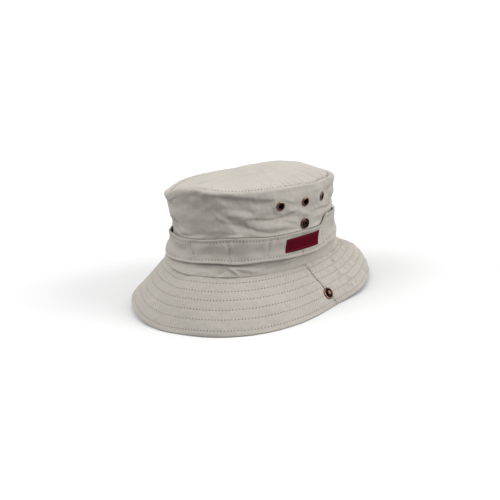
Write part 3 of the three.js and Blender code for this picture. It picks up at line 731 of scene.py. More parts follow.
def crown_at_band(angle, level, clear):
    """How the crown's cloth lies in under the band, swells above it and creases below."""
    from_foot, from_head = level - band_foot(angle), level - band_head(angle)
    under_band = smoothstep(*UNDER_FOOT, from_foot) * (1 - smoothstep(*UNDER_HEAD, from_head))
    tuck = bell(from_foot * SPAN_PER_LEVEL + FOOT_TUCK_DROP, FOOT_TUCK_SPREAD)
    swell = humps(BAND_SWELLS, angle) * bell(from_head - SWELL_RISE, SWELL_SPREAD)
    strip = (1 - smoothstep(*STRIP_FADE, from_foot)) * smoothstep(*STRIP_START, level)
    height = swell * clear - BAND_TUCK * under_band - FOOT_TUCK * tuck
    return height + fold_sum(STRIP_FOLDS, angle, level) * strip


def crown_at_seams(angle, level, clear):
    """How the crown's cloth turns, gathers and sinks at its two seams."""
    from_root = level * SPAN_PER_LEVEL
    from_seam = (TOP_SEAM_LEVEL - level) * SPAN_PER_LEVEL
    lip = smoothstep(*SIDE_GATHER_START, level) * clear
    height = gather_depth(SIDE_GATHERS, angle, from_seam, SIDE_GATHER_SEED) * lip
    height = height + ROOT_TURN * bell(from_root, ROOT_TURN_SPREAD)
    height = height - STRIP_HOLLOW * bell(from_root - STRIP_HOLLOW_RISE, STRIP_HOLLOW_SPREAD)
    height = height + groove((level - TOP_STITCH_LEVEL) * SPAN_PER_LEVEL, TOP_GROOVE)
    height = height - ROLL_DROP * smoothstep(*ROLL_DROP_SPAN, level)
    return height - edge_sink(from_root, ROOT_ROUNDING) - edge_sink(from_seam, TOP_ROUNDING)


def crown_face(angle, level):
    """Outer face of the crown's side, with its folds, creases and seams."""
    form = crown_form(angle, level)
    angle = angle + 0 * level
    level = level + 0 * angle
    clear = clear_of_fittings(angle, level)
    height = fold_sum(CROWN_FOLDS, angle, level) + crease_sum(CROWN_CREASES, angle, level)
    height = height + slumped(form, CROWN_SLUMP) + rippled(form, CROWN_RUMPLE)
    height = height * fold_freedom(angle, level) + rippled(form, CROWN_GRAIN) * clear
    height = height + crown_at_band(angle, level, clear) + crown_at_seams(angle, level, clear)
    return lifted(form, normal_of(crown_form, angle, level), height)


def crown_inner(angle, level):
    """Inner face of the crown's side, which follows its larger folds only."""
    height = fold_sum(CROWN_FOLDS, angle, level) * fold_freedom(angle, level)
    form = crown_form(angle, level)
    return lifted(form, normal_of(crown_form, angle, level), height - CROWN_CLOTH)


def rim_plane(x, y):
    """Height of the sloping plane in which the top seam lies."""
    tilt = section_value("tilt", TOP_SEAM_LEVEL)
    lean = section_value("lean", TOP_SEAM_LEVEL)
    return section_value("height", TOP_SEAM_LEVEL) + tilt * (y - OVAL_BACK) + lean * x


def top_form(angle, reach):
    """The top panel without its gathers."""
    rim = crown_form(angle, TOP_SEAM_LEVEL + 0 * reach)
    wave = rim[..., 2] - rim_plane(rim[..., 0], rim[..., 1])
    middle = OVAL_BACK + section_value("back", TOP_SEAM_LEVEL)
    x = rim[..., 0] * reach
    y = middle + (rim[..., 1] - middle) * reach
    toward_rear_left = (x + y - middle) / math.sqrt(2) / HALF_WIDTH
    z = rim_plane(x, y) + wave * reach**SEAM_WAVE_POWER
    z = z + DOME_RISE * (1 - reach**DOME_POWER) + DOME_DRIFT * toward_rear_left * (1 - reach**2)
    return np.stack([x, y, z], -1)


def top_face(angle, reach):
    """Outer face of the top panel: reach 0 at its middle, 1 at its seam."""
    face = top_form(angle, reach)
    angle = angle + 0 * reach
    from_seam = (1 - reach) * HALF_WIDTH
    calm = smoothstep(0, TOP_CALM, reach)
    height = rippled(face, TOP_WAVE) + slumped(face, TOP_SLUMP) * calm + rippled(face, TOP_GRAIN)
    height = height * smoothstep(0, TOP_WAVE_FADE, from_seam)
    height = height + gather_depth(TOP_GATHERS, angle, from_seam, TOP_GATHER_SEED) * calm
    height = height - ROLL_DROP * bell(from_seam, ROLL_DROP_SPREAD)
    face[..., 2] += height - edge_sink(from_seam, TOP_ROUNDING)
    return face


def tack_angle(loop, up):
    """Angle of one of the band's tacks at a height on the band."""
    return loop.foot + (loop.head - loop.foot) * up


def band_stand_off(angle, up):
    """How far the band's loops stand off the crown. up is 0 at the lower edge, 1 at the upper."""
    stand_off = 0 * angle
    for here, after in zip(BAND_LOOPS, BAND_LOOPS[1:] + BAND_LOOPS[:1]):
        start, end = tack_angle(here, up), tack_angle(after, up)
        along = ((angle - start) % 360) / ((end - start) % 360)
        arch = np.sin(np.pi * np.clip(along, 0, 1)) ** 2
        stand_off = np.maximum(stand_off, (here.loop + here.gape * up**2) * arch)
    return stand_off + BAND_LEAN * up


def tack_distance(angle, up):
    """Distance round the band to its nearest tack."""
    nearest = FAR_AWAY + 0 * angle
    for loop in BAND_LOOPS:
        away = turned(angle - tack_angle(loop, up)) * SPAN_PER_DEGREE
        nearest = np.minimum(nearest, np.abs(away))
    return nearest


def band_place(angle, up, depth):
    """A place in the band, depth being measured out from its inner face."""
    foot, head = band_foot(angle), band_head(angle)
    level = foot + (head - foot) * up
    stand_off = SEWN_GAP + band_stand_off(angle, np.clip(up, 0, 1)) + depth
    return lifted(crown_form(angle, level), normal_of(crown_form, angle, level), stand_off)


def band_form(angle, up):
    """Outer face of the band without its hems and puckers."""
    return band_place(angle, up, BAND_CLOTH + 0 * angle)


def band_face(angle, up):
    """Outer face of the band, with its hems, stitch furrows and small puckers."""
    angle = angle + 0 * up
    up = up + 0 * angle
    form = band_form(angle, up)
    low, high = BAND_STITCH_ROWS
    near, far = BAND_HEM_EDGE
    hems = smoothstep(high + near, high + far, up) + 1 - smoothstep(low - far, low - near, up)
    height = BAND_HEM * hems
    for row in BAND_STITCH_ROWS:
        height = height + groove((up - row) * BAND_HEIGHT, ROW_GROOVE)
    tack = tack_distance(angle, up)
    height = height + groove(tack, TACK_GROOVE, TACK_GROOVE_WIDTH)
    pucker = bell((up - high) * BAND_HEIGHT, HEM_PUCKER_SPREAD) / 2
    pucker = pucker + bell(tack, TACK_PUCKER_SPREAD)
    height = height + rippled(form, BAND_WAVE) * smoothstep(0, TACK_CALM, tack)
    height = height + rippled(form, BAND_PUCKER) * pucker
    from_edge = np.minimum(up, 1 - up) * BAND_HEIGHT
    return band_place(angle, up, BAND_CLOTH + height - edge_sink(from_edge, BAND_CLOTH / 2))


def label_place(across, up, depth):
    """A place on the label: across and up go from 0 to 1, depth out from its back."""
    angle = LABEL_ANGLE + (across - 0.5) * LABEL_WIDTH / SPAN_PER_DEGREE
    angle = angle + LABEL_SKEW * (up - 1) * across
    level = LABEL_FOOT + (LABEL_HEAD - LABEL_FOOT) * up
    band_up = (level - band_foot(angle)) / (band_head(angle) - band_foot(angle))
    return band_place(angle, band_up, BAND_CLOTH + LABEL_SEAT + depth)


def brim_slant(angle):
    """Cloth width of the brim at one angle."""
    return BRIM_WIDTH + BRIM_FRONT_GAIN * np.cos(np.radians(angle)) + humps(BRIM_WIDTHS, angle)


def brim_form(angle, reach):
    """Upper face of the brim without its puckers: reach 0 at the brim seam, 1 at the edge."""
    angle, reach = np.broadcast_arrays(np.asarray(angle, float), np.asarray(reach, float))
    root = crown_form(angle, 0 * reach)
    root[..., 2] -= SEWN_GAP
    outward = outward_at(angle)
    quarter = np.maximum(0, -np.sin(np.radians(2 * angle)))
    lift = np.where(outward[..., 0] > 0, EDGE_LIFT_LEFT_REAR, EDGE_LIFT_RIGHT_FRONT)
    drop = root[..., 2] - lift * quarter**EDGE_LIFT_POWER
    slant = brim_slant(angle)
    spread = np.sqrt(slant**2 - drop**2)
    arch = 4 * reach * (1 - reach)
    bow = (BRIM_BOW + humps(BRIM_BOWS, angle)) * arch / slant
    root += outward * (spread * reach + drop * bow)[..., None]
    root[..., 2] += spread * bow - drop * reach
    return root


def brim_row_distance(angle, reach):
    """Distance across the brim to its nearest row of stitches."""
    slant = brim_slant(angle)
    nearest = FAR_AWAY + 0 * angle
    for row in BRIM_STITCH_ROWS:
        nearest = np.minimum(nearest, np.abs(reach - row) * slant)
    return nearest


def stud_freedom(angle, reach):
    """1 where the brim's cloth is free to pucker, and 0 round the studs."""
    aside = (np.abs(turned(angle)) - STUD_PLACE.angle) * BRIM_SPAN_PER_DEGREE
    across = (reach - STUD_PLACE.level) * brim_slant(angle)
    return smoothstep(*STUD_CALM, np.hypot(aside, across))


def brim_relief(angle, reach, form):
    """Puffs and puckers of the brim's upper face, which are stronger at the back."""
    slant = brim_slant(angle)
    back = 1 - smoothstep(*BACK_START, np.cos(np.radians(angle)))
    across = reach * slant * CHEVRON_SLANT + angle
    slanted = np.stack([angle * BRIM_SPAN_PER_DEGREE, across, 0 * angle], -1)
    height = BRIM_PUFF + (BRIM_PUCKER.depth + BACK_PUCKER * back) * ripples(form, BRIM_PUCKER)
    height = height + (BRIM_CHEVRON.depth + BACK_CHEVRON * back) * ripples(slanted, BRIM_CHEVRON)
    height = height * smoothstep(0, PUFF_WIDTH, brim_row_distance(angle, reach))
    height = height + rippled(form, BRIM_SWAY) + rippled(form, BRIM_GRAIN)
    return height * stud_freedom(angle, reach) * smoothstep(0, EDGE_CALM, (1 - reach) * slant)


def brim_face(angle, reach):
    """Upper face of the brim."""
    form = brim_form(angle, reach)
    root = ROOT_LIFT * np.exp(-reach * brim_slant(angle) / ROOT_LIFT_REACH)
    height = brim_relief(angle, reach, form) + root
    return lifted(form, -normal_of(brim_form, angle, reach), height)


def brim_underside(angle, reach):
    """Lower face of the brim."""
    form = brim_form(angle, reach)
    slant = brim_slant(angle)
    distance = brim_row_distance(angle, reach)
    height = (BRIM_PUFF + rippled(form, UNDERSIDE_PUCKER)) * smoothstep(0, PUFF_WIDTH, distance)
    height = (height + groove(distance, ROW_GROOVE)) * stud_freedom(angle, reach)
    height = height * smoothstep(0, EDGE_CALM, (1 - reach) * slant)
    height = height * smoothstep(0, EDGE_CALM, reach * slant)
    return lifted(form, normal_of(brim_form, angle, reach), BRIM_CLOTH + height)


def brim_seam_angle(reach, side, gap):
    """Angle of the brim's seam on one side of the hat, at each reach."""
    near, far = BRIM_SEAM_BETWEEN
    low = (near if side > 0 else -far) + 0 * reach
    high = low + far - near
    for _ in range(BRIM_SEAM_STEPS):
        middle = (low + high) / 2
        place = brim_form(middle, reach)
        rear = np.interp(np.abs(place[..., 0]), BRIM_SEAM_ACROSS, BRIM_SEAM_REAR) + gap
        past = (place[..., 1] - rear) * side > 0
        high = np.where(past, middle, high)
        low = np.where(past, low, middle)
    return (low + high) / 2


# Meshes from grids of places


def spaced(start, end, step, rolled=(True, True)):
    """Places from start to end, a step apart, with closer ones at the rounded ends."""
    inner = np.array(ROLL_STEPS) * EDGE_ROLL
    low = start + (inner if rolled[0] else inner[:1])
    high = end - (inner if rolled[1] else inner[:1])[::-1]
    count = max(2, round((high[0] - low[-1]) / step))
    return np.concatenate([low[:-1], np.linspace(low[-1], high[0], count + 1), high[1:]])


def arc_lengths(points, angles, zero):
    """Length along each row of places, measured from the angle zero."""
    steps = np.linalg.norm(np.diff(points, axis=1), axis=-1)
    lengths = np.concatenate([np.zeros((len(points), 1)), np.cumsum(steps, axis=1)], axis=1)
    origins = [np.interp(zero, row, length) for row, length in zip(angles, lengths)]
    return lengths - np.array(origins)[:, None]


def row_lengths(form, place, angles, zero):
    """Angles finely along a row of a surface, and the length from the angle zero to each."""
    fine = np.linspace(angles[0], angles[1], ROW_SAMPLES)
    return fine, arc_lengths(form(fine, place + 0 * fine)[None], fine[None], zero)[0]


def stitch_line(form, place, angle, distance, pitch, zero):
    """A row's count of stitches at each angle of a grid, with the distance from the row."""
    fine, lengths = row_lengths(form, place, (angle.min() - 1, angle.max() + 1), zero)
    return np.interp(angle, fine, lengths) / pitch, distance


def closed_rows(grid):
    """A grid with its first row repeated at its end."""
    return np.concatenate([grid, grid[:1]])


def grid_mesh(name, points, cloth, lines=(), close_rows=False, close_columns=False, capped=False):
    """A mesh object over a grid of places in millimetres. A closed grid repeats its first
    row or column at its end, so that its UV maps can run on there. The map cloth holds
    millimetres of cloth. Each of the stitch lines is a count of stitches along it and a
    distance from it, and each face's stitch_lines map is that of the line nearest to it."""
    rows, columns = points.shape[:2]
    kept_rows = rows - 1 if close_rows else rows
    kept_columns = columns - 1 if close_columns else columns
    row, column = np.meshgrid(np.arange(rows - 1), np.arange(columns - 1), indexing="ij")
    corner_rows = np.stack([row, row, row + 1, row + 1], -1).reshape(-1, 4)
    corner_columns = np.stack([column, column + 1, column + 1, column], -1).reshape(-1, 4)
    faces = (corner_rows % kept_rows) * kept_columns + corner_columns % kept_columns
    corners = np.stack([corner_rows, corner_columns], -1)
    if capped:
        first = np.arange(kept_rows // 2 - 1)
        mirrored = kept_rows - 1 - first
        start = np.stack([first, first + 1, mirrored - 1, mirrored], -1)
        for end, order in ((0, start), (columns - 1, start[:, ::-1])):
            corners = np.concatenate([corners, np.stack([order, np.full_like(order, end)], -1)])
            faces = np.concatenate([faces, order * kept_columns + end])
    vertices = points[:kept_rows, :kept_columns].reshape(-1, 3) * MM
    mesh = bpy.data.meshes.new(name)
    mesh.from_pydata(vertices.tolist(), [], faces.tolist())
    here = corners[..., 0], corners[..., 1]
    layer = mesh.uv_layers.new(name="cloth")
    layer.data.foreach_set("uv", np.stack([cloth[0][here], cloth[1][here]], -1).ravel())
    if lines:
        along = np.stack([line[0][here] for line in lines], -1)
        away = np.stack([line[1][here] for line in lines], -1)
    else:
        along = away = np.full((*corners.shape[:2], 1), FAR_AWAY)
    nearest = np.abs(away.mean(axis=1)).argmin(axis=-1)[:, None, None]
    pair = [np.take_along_axis(values, nearest, -1)[..., 0] for values in (along, away)]
    layer = mesh.uv_layers.new(name="stitch_lines")
    layer.data.foreach_set("uv", np.stack(pair, -1).ravel())
    return shown(name, mesh)


def linked(name, data):
    """A new object in the scene."""
    piece = bpy.data.objects.new(name, data)
    bpy.context.scene.collection.objects.link(piece)
    return piece


def shown(name, mesh):
    """An object of a finished mesh, smooth and linked into the scene."""
    mesh.name = name
    mesh.update()
    mesh.shade_smooth()
    return linked(name, mesh)


def weld_poles(piece):
    """Merges the places of a collapsed row into one."""
    work = bmesh.new()
    work.from_mesh(piece.data)
    bmesh.ops.remove_doubles(work, verts=work.verts, dist=1e-7)
    work.to_mesh(piece.data)
    work.free()
    piece.data.shade_smooth()


def baked(piece, modifier):
    """Replaces a piece's mesh by what its one modifier makes of it."""
    graph = bpy.context.evaluated_depsgraph_get()
    mesh = bpy.data.meshes.new_from_object(piece.evaluated_get(graph))
    piece.modifiers.remove(modifier)
    piece.data = mesh
    mesh.name = piece.name
    return piece


def finish_piece(piece, materials, nodes=()):
    """Gives a piece its materials and its place on the body, and hides the solids it replaces."""
    piece.data.materials.clear()
    for material in materials:
        piece.data.materials.append(material)
    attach(piece, "root")
    if nodes:
        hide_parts(*nodes)
    return piece


# Settings and operators of the add-on


def colour_setting(name, description, *colour):
    """A colour among the add-on's settings."""
    return FloatVectorProperty(
        name=name, description=description, subtype="COLOR", size=4, min=0, max=1,
        default=(*colour, 1))


class HatSettings(bpy.types.PropertyGroup):
    """Sizes and colours of the hat's cloth, thread and metal."""

    stitch_pitch: FloatProperty(
        name="Stitch pitch", description="Length of cloth from one needle hole to the next",
        default=0.0034, min=0.001, unit="LENGTH")
    stitch_length: FloatProperty(
        name="Stitch length", description="Length of thread that shows in one stitch",
        default=0.0024, min=0.001, unit="LENGTH")
    thread_radius: FloatProperty(
        name="Thread radius", description="Half the thickness of the sewing thread",
        default=0.00028, min=0.0001, unit="LENGTH")
    stitch_seed: IntProperty(
        name="Stitch seed", description="Seed of the stitches' small turns", default=7)
    cloth_colour: colour_setting("Cloth", "Colour of the cotton", 0.42, 0.392, 0.351)
    # The thread is a little lighter than the cloth: painted highlight along the rows of stitches
    thread_colour_and_highlight: colour_setting("Thread", "Colour of the sewing thread", 0.47, 0.43, 0.385)
    label_colour: colour_setting("Label", "Colour of the woven label", 0.095, 0.003, 0.011)
    label_thread_colour: colour_setting(
        "Label thread", "Colour of the stitches round the label", 0.11, 0.012, 0.02)
    metal_colour: colour_setting(
        "Metal", "Colour of the copper plating where it is rubbed bright", 0.23, 0.125, 0.09)
    # Near black in the recesses and holes: partly patina, partly painted shade
    recess_patina_and_shade_colour: colour_setting(
        "Recess", "Colour of the copper plating in its dark recesses", 0.009, 0.004, 0.003)
    weave_depth: FloatProperty(
        name="Weave depth", description="Depth of the twill's ribs",
        default=0.00016, min=0, precision=5, unit="LENGTH")
    floor_colour: colour_setting("Floor", "Colour of the plain floor", 0.7, 0.7, 0.7)
    bounce_colour: colour_setting(
        "Floor bounce", "Colour of the floor in the light that it throws back", 0.3, 0.3, 0.3)
    light_strength: FloatProperty(
        name="Light", description="Strength of the studio light, 1 being that of the photograph",
        default=1, min=0)


def add(tree, kind, inputs=None, **options):
    """Adds a node, sets its options and fills its inputs with values or links."""
    item = tree.nodes.new(kind)
    for name, value in options.items():
        setattr(item, name, value)
    for key, value in (inputs or {}).items():
        if isinstance(value, bpy.types.NodeSocket):
            tree.links.new(value, item.inputs[key])
        else:
            item.inputs[key].default_value = value
    return item


def new_group(name, kind, sockets):
    """A node group with its sockets: each is a name, whether it goes in or out, and a type."""
    tree = bpy.data.node_groups.new(name, kind)
    for label, direction, socket in sockets:
        tree.interface.new_socket(label, in_out=direction, socket_type=socket)
    return tree, add(tree, "NodeGroupInput").outputs, add(tree, "NodeGroupOutput").inputs


def value_math(tree, operation, *values):
    """The result of one operation on values or links."""
    return add(tree, "ShaderNodeMath", dict(enumerate(values)), operation=operation).outputs[0]


def scaled_colour(tree, colour, factor):
    """A colour made lighter or darker by a factor."""
    inputs = {0: colour, "Scale": factor}
    return add(tree, "ShaderNodeVectorMath", inputs, operation="SCALE").outputs[0]


def ramp(tree, value, low, high, start=0.0, end=1.0):
    """A soft change from start to end as the value goes from low to high."""
    inputs = {"Value": value, "From Min": low, "From Max": high, "To Min": start, "To Max": end}
    return add(tree, "ShaderNodeMapRange", inputs, interpolation_type="SMOOTHSTEP").outputs[0]


def twill_group():
    """Height of the cloth's diagonal ribs, from a map in millimetres."""
    tree, given, out = new_group("woven_twill", "ShaderNodeTree", (
        ("Cloth", "INPUT", "NodeSocketVector"), ("Height", "OUTPUT", "NodeSocketFloat")))
    ribs = add(tree, "ShaderNodeTexWave", {
        "Vector": given["Cloth"], "Scale": 0.72, "Distortion": 0.6, "Detail": 1.0,
        "Detail Scale": 1.4}, wave_type="BANDS", bands_direction="DIAGONAL")
    stretched = add(tree, "ShaderNodeVectorMath", {0: given["Cloth"], 1: (0.12, 1.1, 1)},
                    operation="MULTIPLY").outputs[0]
    threads = value_math(tree, "MULTIPLY", noise(tree, given["Cloth"], 1.6, 3.0, 0.7), 0.9)
    height = value_math(tree, "MULTIPLY_ADD", ribs.outputs["Fac"], 0.4, threads)
    slubs = noise(tree, stretched, 1.0, 2.0)
    height = value_math(tree, "MULTIPLY_ADD", slubs, 0.4, height)
    tree.links.new(height, out["Height"])
    return tree


def noise(tree, place, scale, detail, roughness=0.5):
    """A soft random value at each place, about 0 to 1."""
    return add(tree, "ShaderNodeTexNoise", {
        "Vector": place, "Scale": scale, "Detail": detail, "Roughness": roughness}).outputs["Fac"]


def mixed_colour(tree, share, first, second):
    """A colour between two others."""
    return add(tree, "ShaderNodeMix", {"Factor": share, 6: first, 7: second},
               data_type="RGBA").outputs[2]


def mottle_group():
    """A colour made a little uneven, in soft patches and a fine grain."""
    tree, given, out = new_group("cloth_mottle", "ShaderNodeTree", (
        ("Colour", "INPUT", "NodeSocketColor"), ("Amount", "INPUT", "NodeSocketFloat"),
        ("Colour", "OUTPUT", "NodeSocketColor")))
    place = add(tree, "ShaderNodeTexCoord").outputs["Object"]
    total = value_math(tree, "ADD", noise(tree, place, 32.0, 3.0), noise(tree, place, 420.0, 2.0))
    shift = value_math(tree, "SUBTRACT", total, 1.0)
    factor = value_math(tree, "MULTIPLY_ADD", shift, given["Amount"], 1.0)
    tree.links.new(scaled_colour(tree, given["Colour"], factor), out["Colour"])
    return tree


def needle_group():
    """Mask of the needle holes in a row of stitches, from a map that counts stitches along
    the row and millimetres across it."""
    tree, given, out = new_group("needle_holes", "ShaderNodeTree", (
        ("Lines", "INPUT", "NodeSocketVector"), ("Pitch", "INPUT", "NodeSocketFloat"),
        ("Hole", "OUTPUT", "NodeSocketFloat")))
    parts = add(tree, "ShaderNodeSeparateXYZ", {0: given["Lines"]}).outputs
    share = value_math(tree, "FRACT", value_math(tree, "ADD", parts["X"], 0.5))
    along = value_math(tree, "MULTIPLY", value_math(tree, "SUBTRACT", share, 0.5), given["Pitch"])
    across = parts["Y"]
    squares = [value_math(tree, "MULTIPLY", side, side) for side in (along, across)]
    away = value_math(tree, "SQRT", value_math(tree, "ADD", *squares))
    tree.links.new(ramp(tree, away, *NEEDLE_HOLE_EDGE, 1.0, 0.0), out["Hole"])
    return tree


def shared_group(name, make):
    """The node group of this name, made when it is first asked for."""
    return bpy.data.node_groups.get(name) or make()


def new_material(name):
    """A material with an empty node tree."""
    material = bpy.data.materials.new(name)
    material.use_nodes = True
    material.node_tree.nodes.clear()
    return material, material.node_tree


def use_group(tree, group, inputs):
    """Outputs of a shared shader group, with its inputs filled."""
    return add(tree, "ShaderNodeGroup", inputs, node_tree=group).outputs


def surface(tree, inputs):
    """Ends a material's tree in one Principled shader."""
    shader = add(tree, "ShaderNodeBsdfPrincipled", inputs)
    add(tree, "ShaderNodeOutputMaterial", {"Surface": shader.outputs[0]})


def cotton(settings, name="hat_cotton", hole_shade=HOLE_SHADE):
    """The hat's cotton cloth: twill ribs, needle holes and faint mottle."""
    found = bpy.data.materials.get(name)
    if found:
        return found
    material, tree = new_material(name)
    cloth = add(tree, "ShaderNodeUVMap", uv_map="cloth").outputs[0]
    lines = add(tree, "ShaderNodeUVMap", uv_map="stitch_lines").outputs[0]
    ribs = use_group(tree, shared_group("woven_twill", twill_group), {"Cloth": cloth})
    marks = use_group(tree, shared_group("needle_holes", needle_group), {
        "Lines": lines, "Pitch": settings.stitch_pitch / MM})
    tint = use_group(tree, shared_group("cloth_mottle", mottle_group), {
        "Colour": settings.cloth_colour, "Amount": CLOTH_MOTTLE})
    # Painted shade: the needle holes and the low parts of the twill's ribs darken the colour
    shade = value_math(tree, "MULTIPLY_ADD", marks["Hole"], -hole_shade, 1.0)
    ribs_shade = value_math(tree, "MULTIPLY_ADD", ribs["Height"], RIB_LIGHT, RIB_SHADE)
    shade = value_math(tree, "MULTIPLY", shade, ribs_shade)
    weave = add(tree, "ShaderNodeBump", {
        "Height": ribs["Height"], "Strength": 1.0, "Distance": settings.weave_depth})
    holes = add(tree, "ShaderNodeBump", {
        "Height": value_math(tree, "MULTIPLY", marks["Hole"], -1.0), "Strength": 1.0,
        "Distance": HOLE_DENT, "Normal": weave.outputs[0]})
    surface(tree, {
        "Base Color": scaled_colour(tree, tint["Colour"], shade), "Roughness": 0.92,
        "Normal": holes.outputs[0], "Specular IOR Level": 0.15, "Sheen Weight": 0.06,
        "Sheen Roughness": 0.5})
    return material


def thread(name, colour):
    """Twisted sewing thread."""
    found = bpy.data.materials.get(name)
    if found:
        return found
    material, tree = new_material(name)
    tint = use_group(tree, shared_group("cloth_mottle", mottle_group), {
        "Colour": colour, "Amount": THREAD_MOTTLE})
    surface(tree, {"Base Color": tint["Colour"], "Roughness": 0.75, "Specular IOR Level": 0.3})
    return material


def cotton_thread(settings):
    """The sewing thread of the hat's seams and rows, lightened as a painted highlight."""
    return thread("cotton_thread", settings.thread_colour_and_highlight)


def label_cloth(settings):
    """The label's dense satin weave."""
    material, tree = new_material("hat_label")
    cloth = add(tree, "ShaderNodeUVMap", uv_map="cloth").outputs[0]
    wefts = add(tree, "ShaderNodeTexWave", {
        "Vector": cloth, "Scale": 1.15, "Distortion": 0.5, "Detail": 1.0},
        wave_type="BANDS", bands_direction="Y")
    fibres = noise(tree, cloth, 2.6, 2.0)
    height = value_math(tree, "MULTIPLY_ADD", fibres, 0.7, wefts.outputs["Fac"])
    tint = use_group(tree, shared_group("cloth_mottle", mottle_group), {
        "Colour": settings.label_colour, "Amount": LABEL_MOTTLE})
    shade = value_math(tree, "MULTIPLY_ADD", height, 0.5, 0.6)
    weave = add(tree, "ShaderNodeBump", {
        "Height": height, "Strength": 1.0, "Distance": LABEL_WEAVE_DEPTH})
    surface(tree, {
        "Base Color": scaled_colour(tree, tint["Colour"], shade), "Roughness": 0.9,
        "Normal": weave.outputs[0], "Specular IOR Level": 0.04})
    return material


def plated_metal(settings):
    """Antique copper plating, rubbed bright on rims, dark in recesses with patina and painted shade."""
    material, tree = new_material("hat_metal")
    bright = add(tree, "ShaderNodeAttribute", attribute_name="bright").outputs["Fac"]
    place = add(tree, "ShaderNodeTexCoord").outputs["Object"]
    blotches = noise(tree, place, 900.0, 3.0)
    uneven = value_math(tree, "SUBTRACT", blotches, 0.5)
    # From bare copper on the rims to near black in the recesses: part patina, part painted shade
    wear_and_shade = value_math(tree, "MULTIPLY_ADD", uneven, 0.9, bright)
    colour = mixed_colour(
        tree, ramp(tree, wear_and_shade, 0.15, 0.95), settings.recess_patina_and_shade_colour, settings.metal_colour)
    dents = add(tree, "ShaderNodeBump", {
        "Height": blotches, "Strength": 0.5, "Distance": METAL_DENT})
    surface(tree, {
        "Base Color": colour, "Metallic": ramp(tree, wear_and_shade, 0.0, 0.4),
        "Roughness": ramp(tree, wear_and_shade, 0.1, 1.0, 0.62, 0.3), "Specular IOR Level": 0.08,
        "Normal": dents.outputs[0]})
    return material


def stitch_group():
    """Turns marked places into stitches: short arched threads that lie along each tangent."""
    tree, given, out = new_group("stitches_on_places", "GeometryNodeTree", (
        ("Geometry", "INPUT", "NodeSocketGeometry"),
        ("Stitch Length", "INPUT", "NodeSocketFloat"),
        ("Thread Radius", "INPUT", "NodeSocketFloat"),
        ("Arch", "INPUT", "NodeSocketFloat"),
        ("Seed", "INPUT", "NodeSocketInt"),
        ("Thread", "INPUT", "NodeSocketMaterial"),
        ("Geometry", "OUTPUT", "NodeSocketGeometry")))
    half = value_math(tree, "MULTIPLY", given["Stitch Length"], 0.5)
    back = value_math(tree, "MULTIPLY", half, -1.0)
    sunk = value_math(tree, "MULTIPLY", given["Thread Radius"], -THREAD_SINK)
    start = add(tree, "ShaderNodeCombineXYZ", {"X": back, "Z": sunk}).outputs[0]
    middle = add(tree, "ShaderNodeCombineXYZ", {"Z": given["Arch"]}).outputs[0]
    end = add(tree, "ShaderNodeCombineXYZ", {"X": half, "Z": sunk}).outputs[0]
    path = add(tree, "GeometryNodeCurveQuadraticBezier", {
        "Resolution": 4, "Start": start, "Middle": middle, "End": end}).outputs[0]
    ring = add(tree, "GeometryNodeCurvePrimitiveCircle", {
        "Resolution": 5, "Radius": given["Thread Radius"]}).outputs[0]
    arch = add(tree, "GeometryNodeCurveToMesh", {
        "Curve": path, "Profile Curve": ring, "Fill Caps": True}).outputs[0]
    normal = add(tree, "GeometryNodeInputNamedAttribute", {"Name": "normal"},
                 data_type="FLOAT_VECTOR").outputs[0]
    tangent = add(tree, "GeometryNodeInputNamedAttribute", {"Name": "tangent"},
                  data_type="FLOAT_VECTOR").outputs[0]
    facing = add(tree, "FunctionNodeAxesToRotation", {
        "Primary Axis": normal, "Secondary Axis": tangent},
        primary_axis="Z", secondary_axis="X").outputs[0]
    turn = add(tree, "FunctionNodeRandomValue", {
        "Min": (-0.03, -0.03, -0.07), "Max": (0.03, 0.03, 0.07), "Seed": given["Seed"]},
        data_type="FLOAT_VECTOR").outputs[0]
    turned_by = add(tree, "FunctionNodeEulerToRotation", {0: turn}).outputs[0]
    rotation = add(tree, "FunctionNodeRotateRotation", {
        "Rotation": facing, "Rotate By": turned_by}, rotation_space="LOCAL").outputs[0]
    size = add(tree, "FunctionNodeRandomValue", {
        "Min": (0.92, 0.9, 0.85), "Max": (1.04, 1.08, 1.1), "Seed": given["Seed"]},
        data_type="FLOAT_VECTOR").outputs[0]
    placed = add(tree, "GeometryNodeInstanceOnPoints", {
        "Points": given["Geometry"], "Instance": arch, "Rotation": rotation, "Scale": size})
    real = add(tree, "GeometryNodeRealizeInstances", {0: placed.outputs[0]}).outputs[0]
    smooth = add(tree, "GeometryNodeSetShadeSmooth", {0: real}).outputs[0]
    done = add(tree, "GeometryNodeSetMaterial", {
        "Geometry": smooth, "Material": given["Thread"]}).outputs[0]
    tree.links.new(done, out["Geometry"])
    return tree


def sew(name, places, material, settings):
    """One object of stitches, from arrays of places, normals and tangents in millimetres."""
    points, normals, tangents = (np.concatenate(part) for part in zip(*places))
    mesh = bpy.data.meshes.new(name)
    mesh.from_pydata((points * MM).tolist(), [], [])
    for label, values in (("normal", normals), ("tangent", tangents)):
        layer = mesh.attributes.new(label, "FLOAT_VECTOR", "POINT")
        layer.data.foreach_set("vector", values.ravel())
    piece = linked(name, mesh)
    group = shared_group("stitches_on_places", stitch_group)
    modifier = piece.modifiers.new("stitches", "NODES")
    modifier.node_group = group
    values = {
        "Stitch Length": settings.stitch_length, "Thread Radius": settings.thread_radius,
        "Arch": settings.thread_radius * THREAD_ARCH, "Seed": settings.stitch_seed,
        "Thread": material}
    for item in group.interface.items_tree:
        if item.in_out == "INPUT" and item.name in values:
            modifier[item.identifier] = values[item.name]
    piece.update_tag()
    return finish_piece(baked(piece, modifier), (material,))


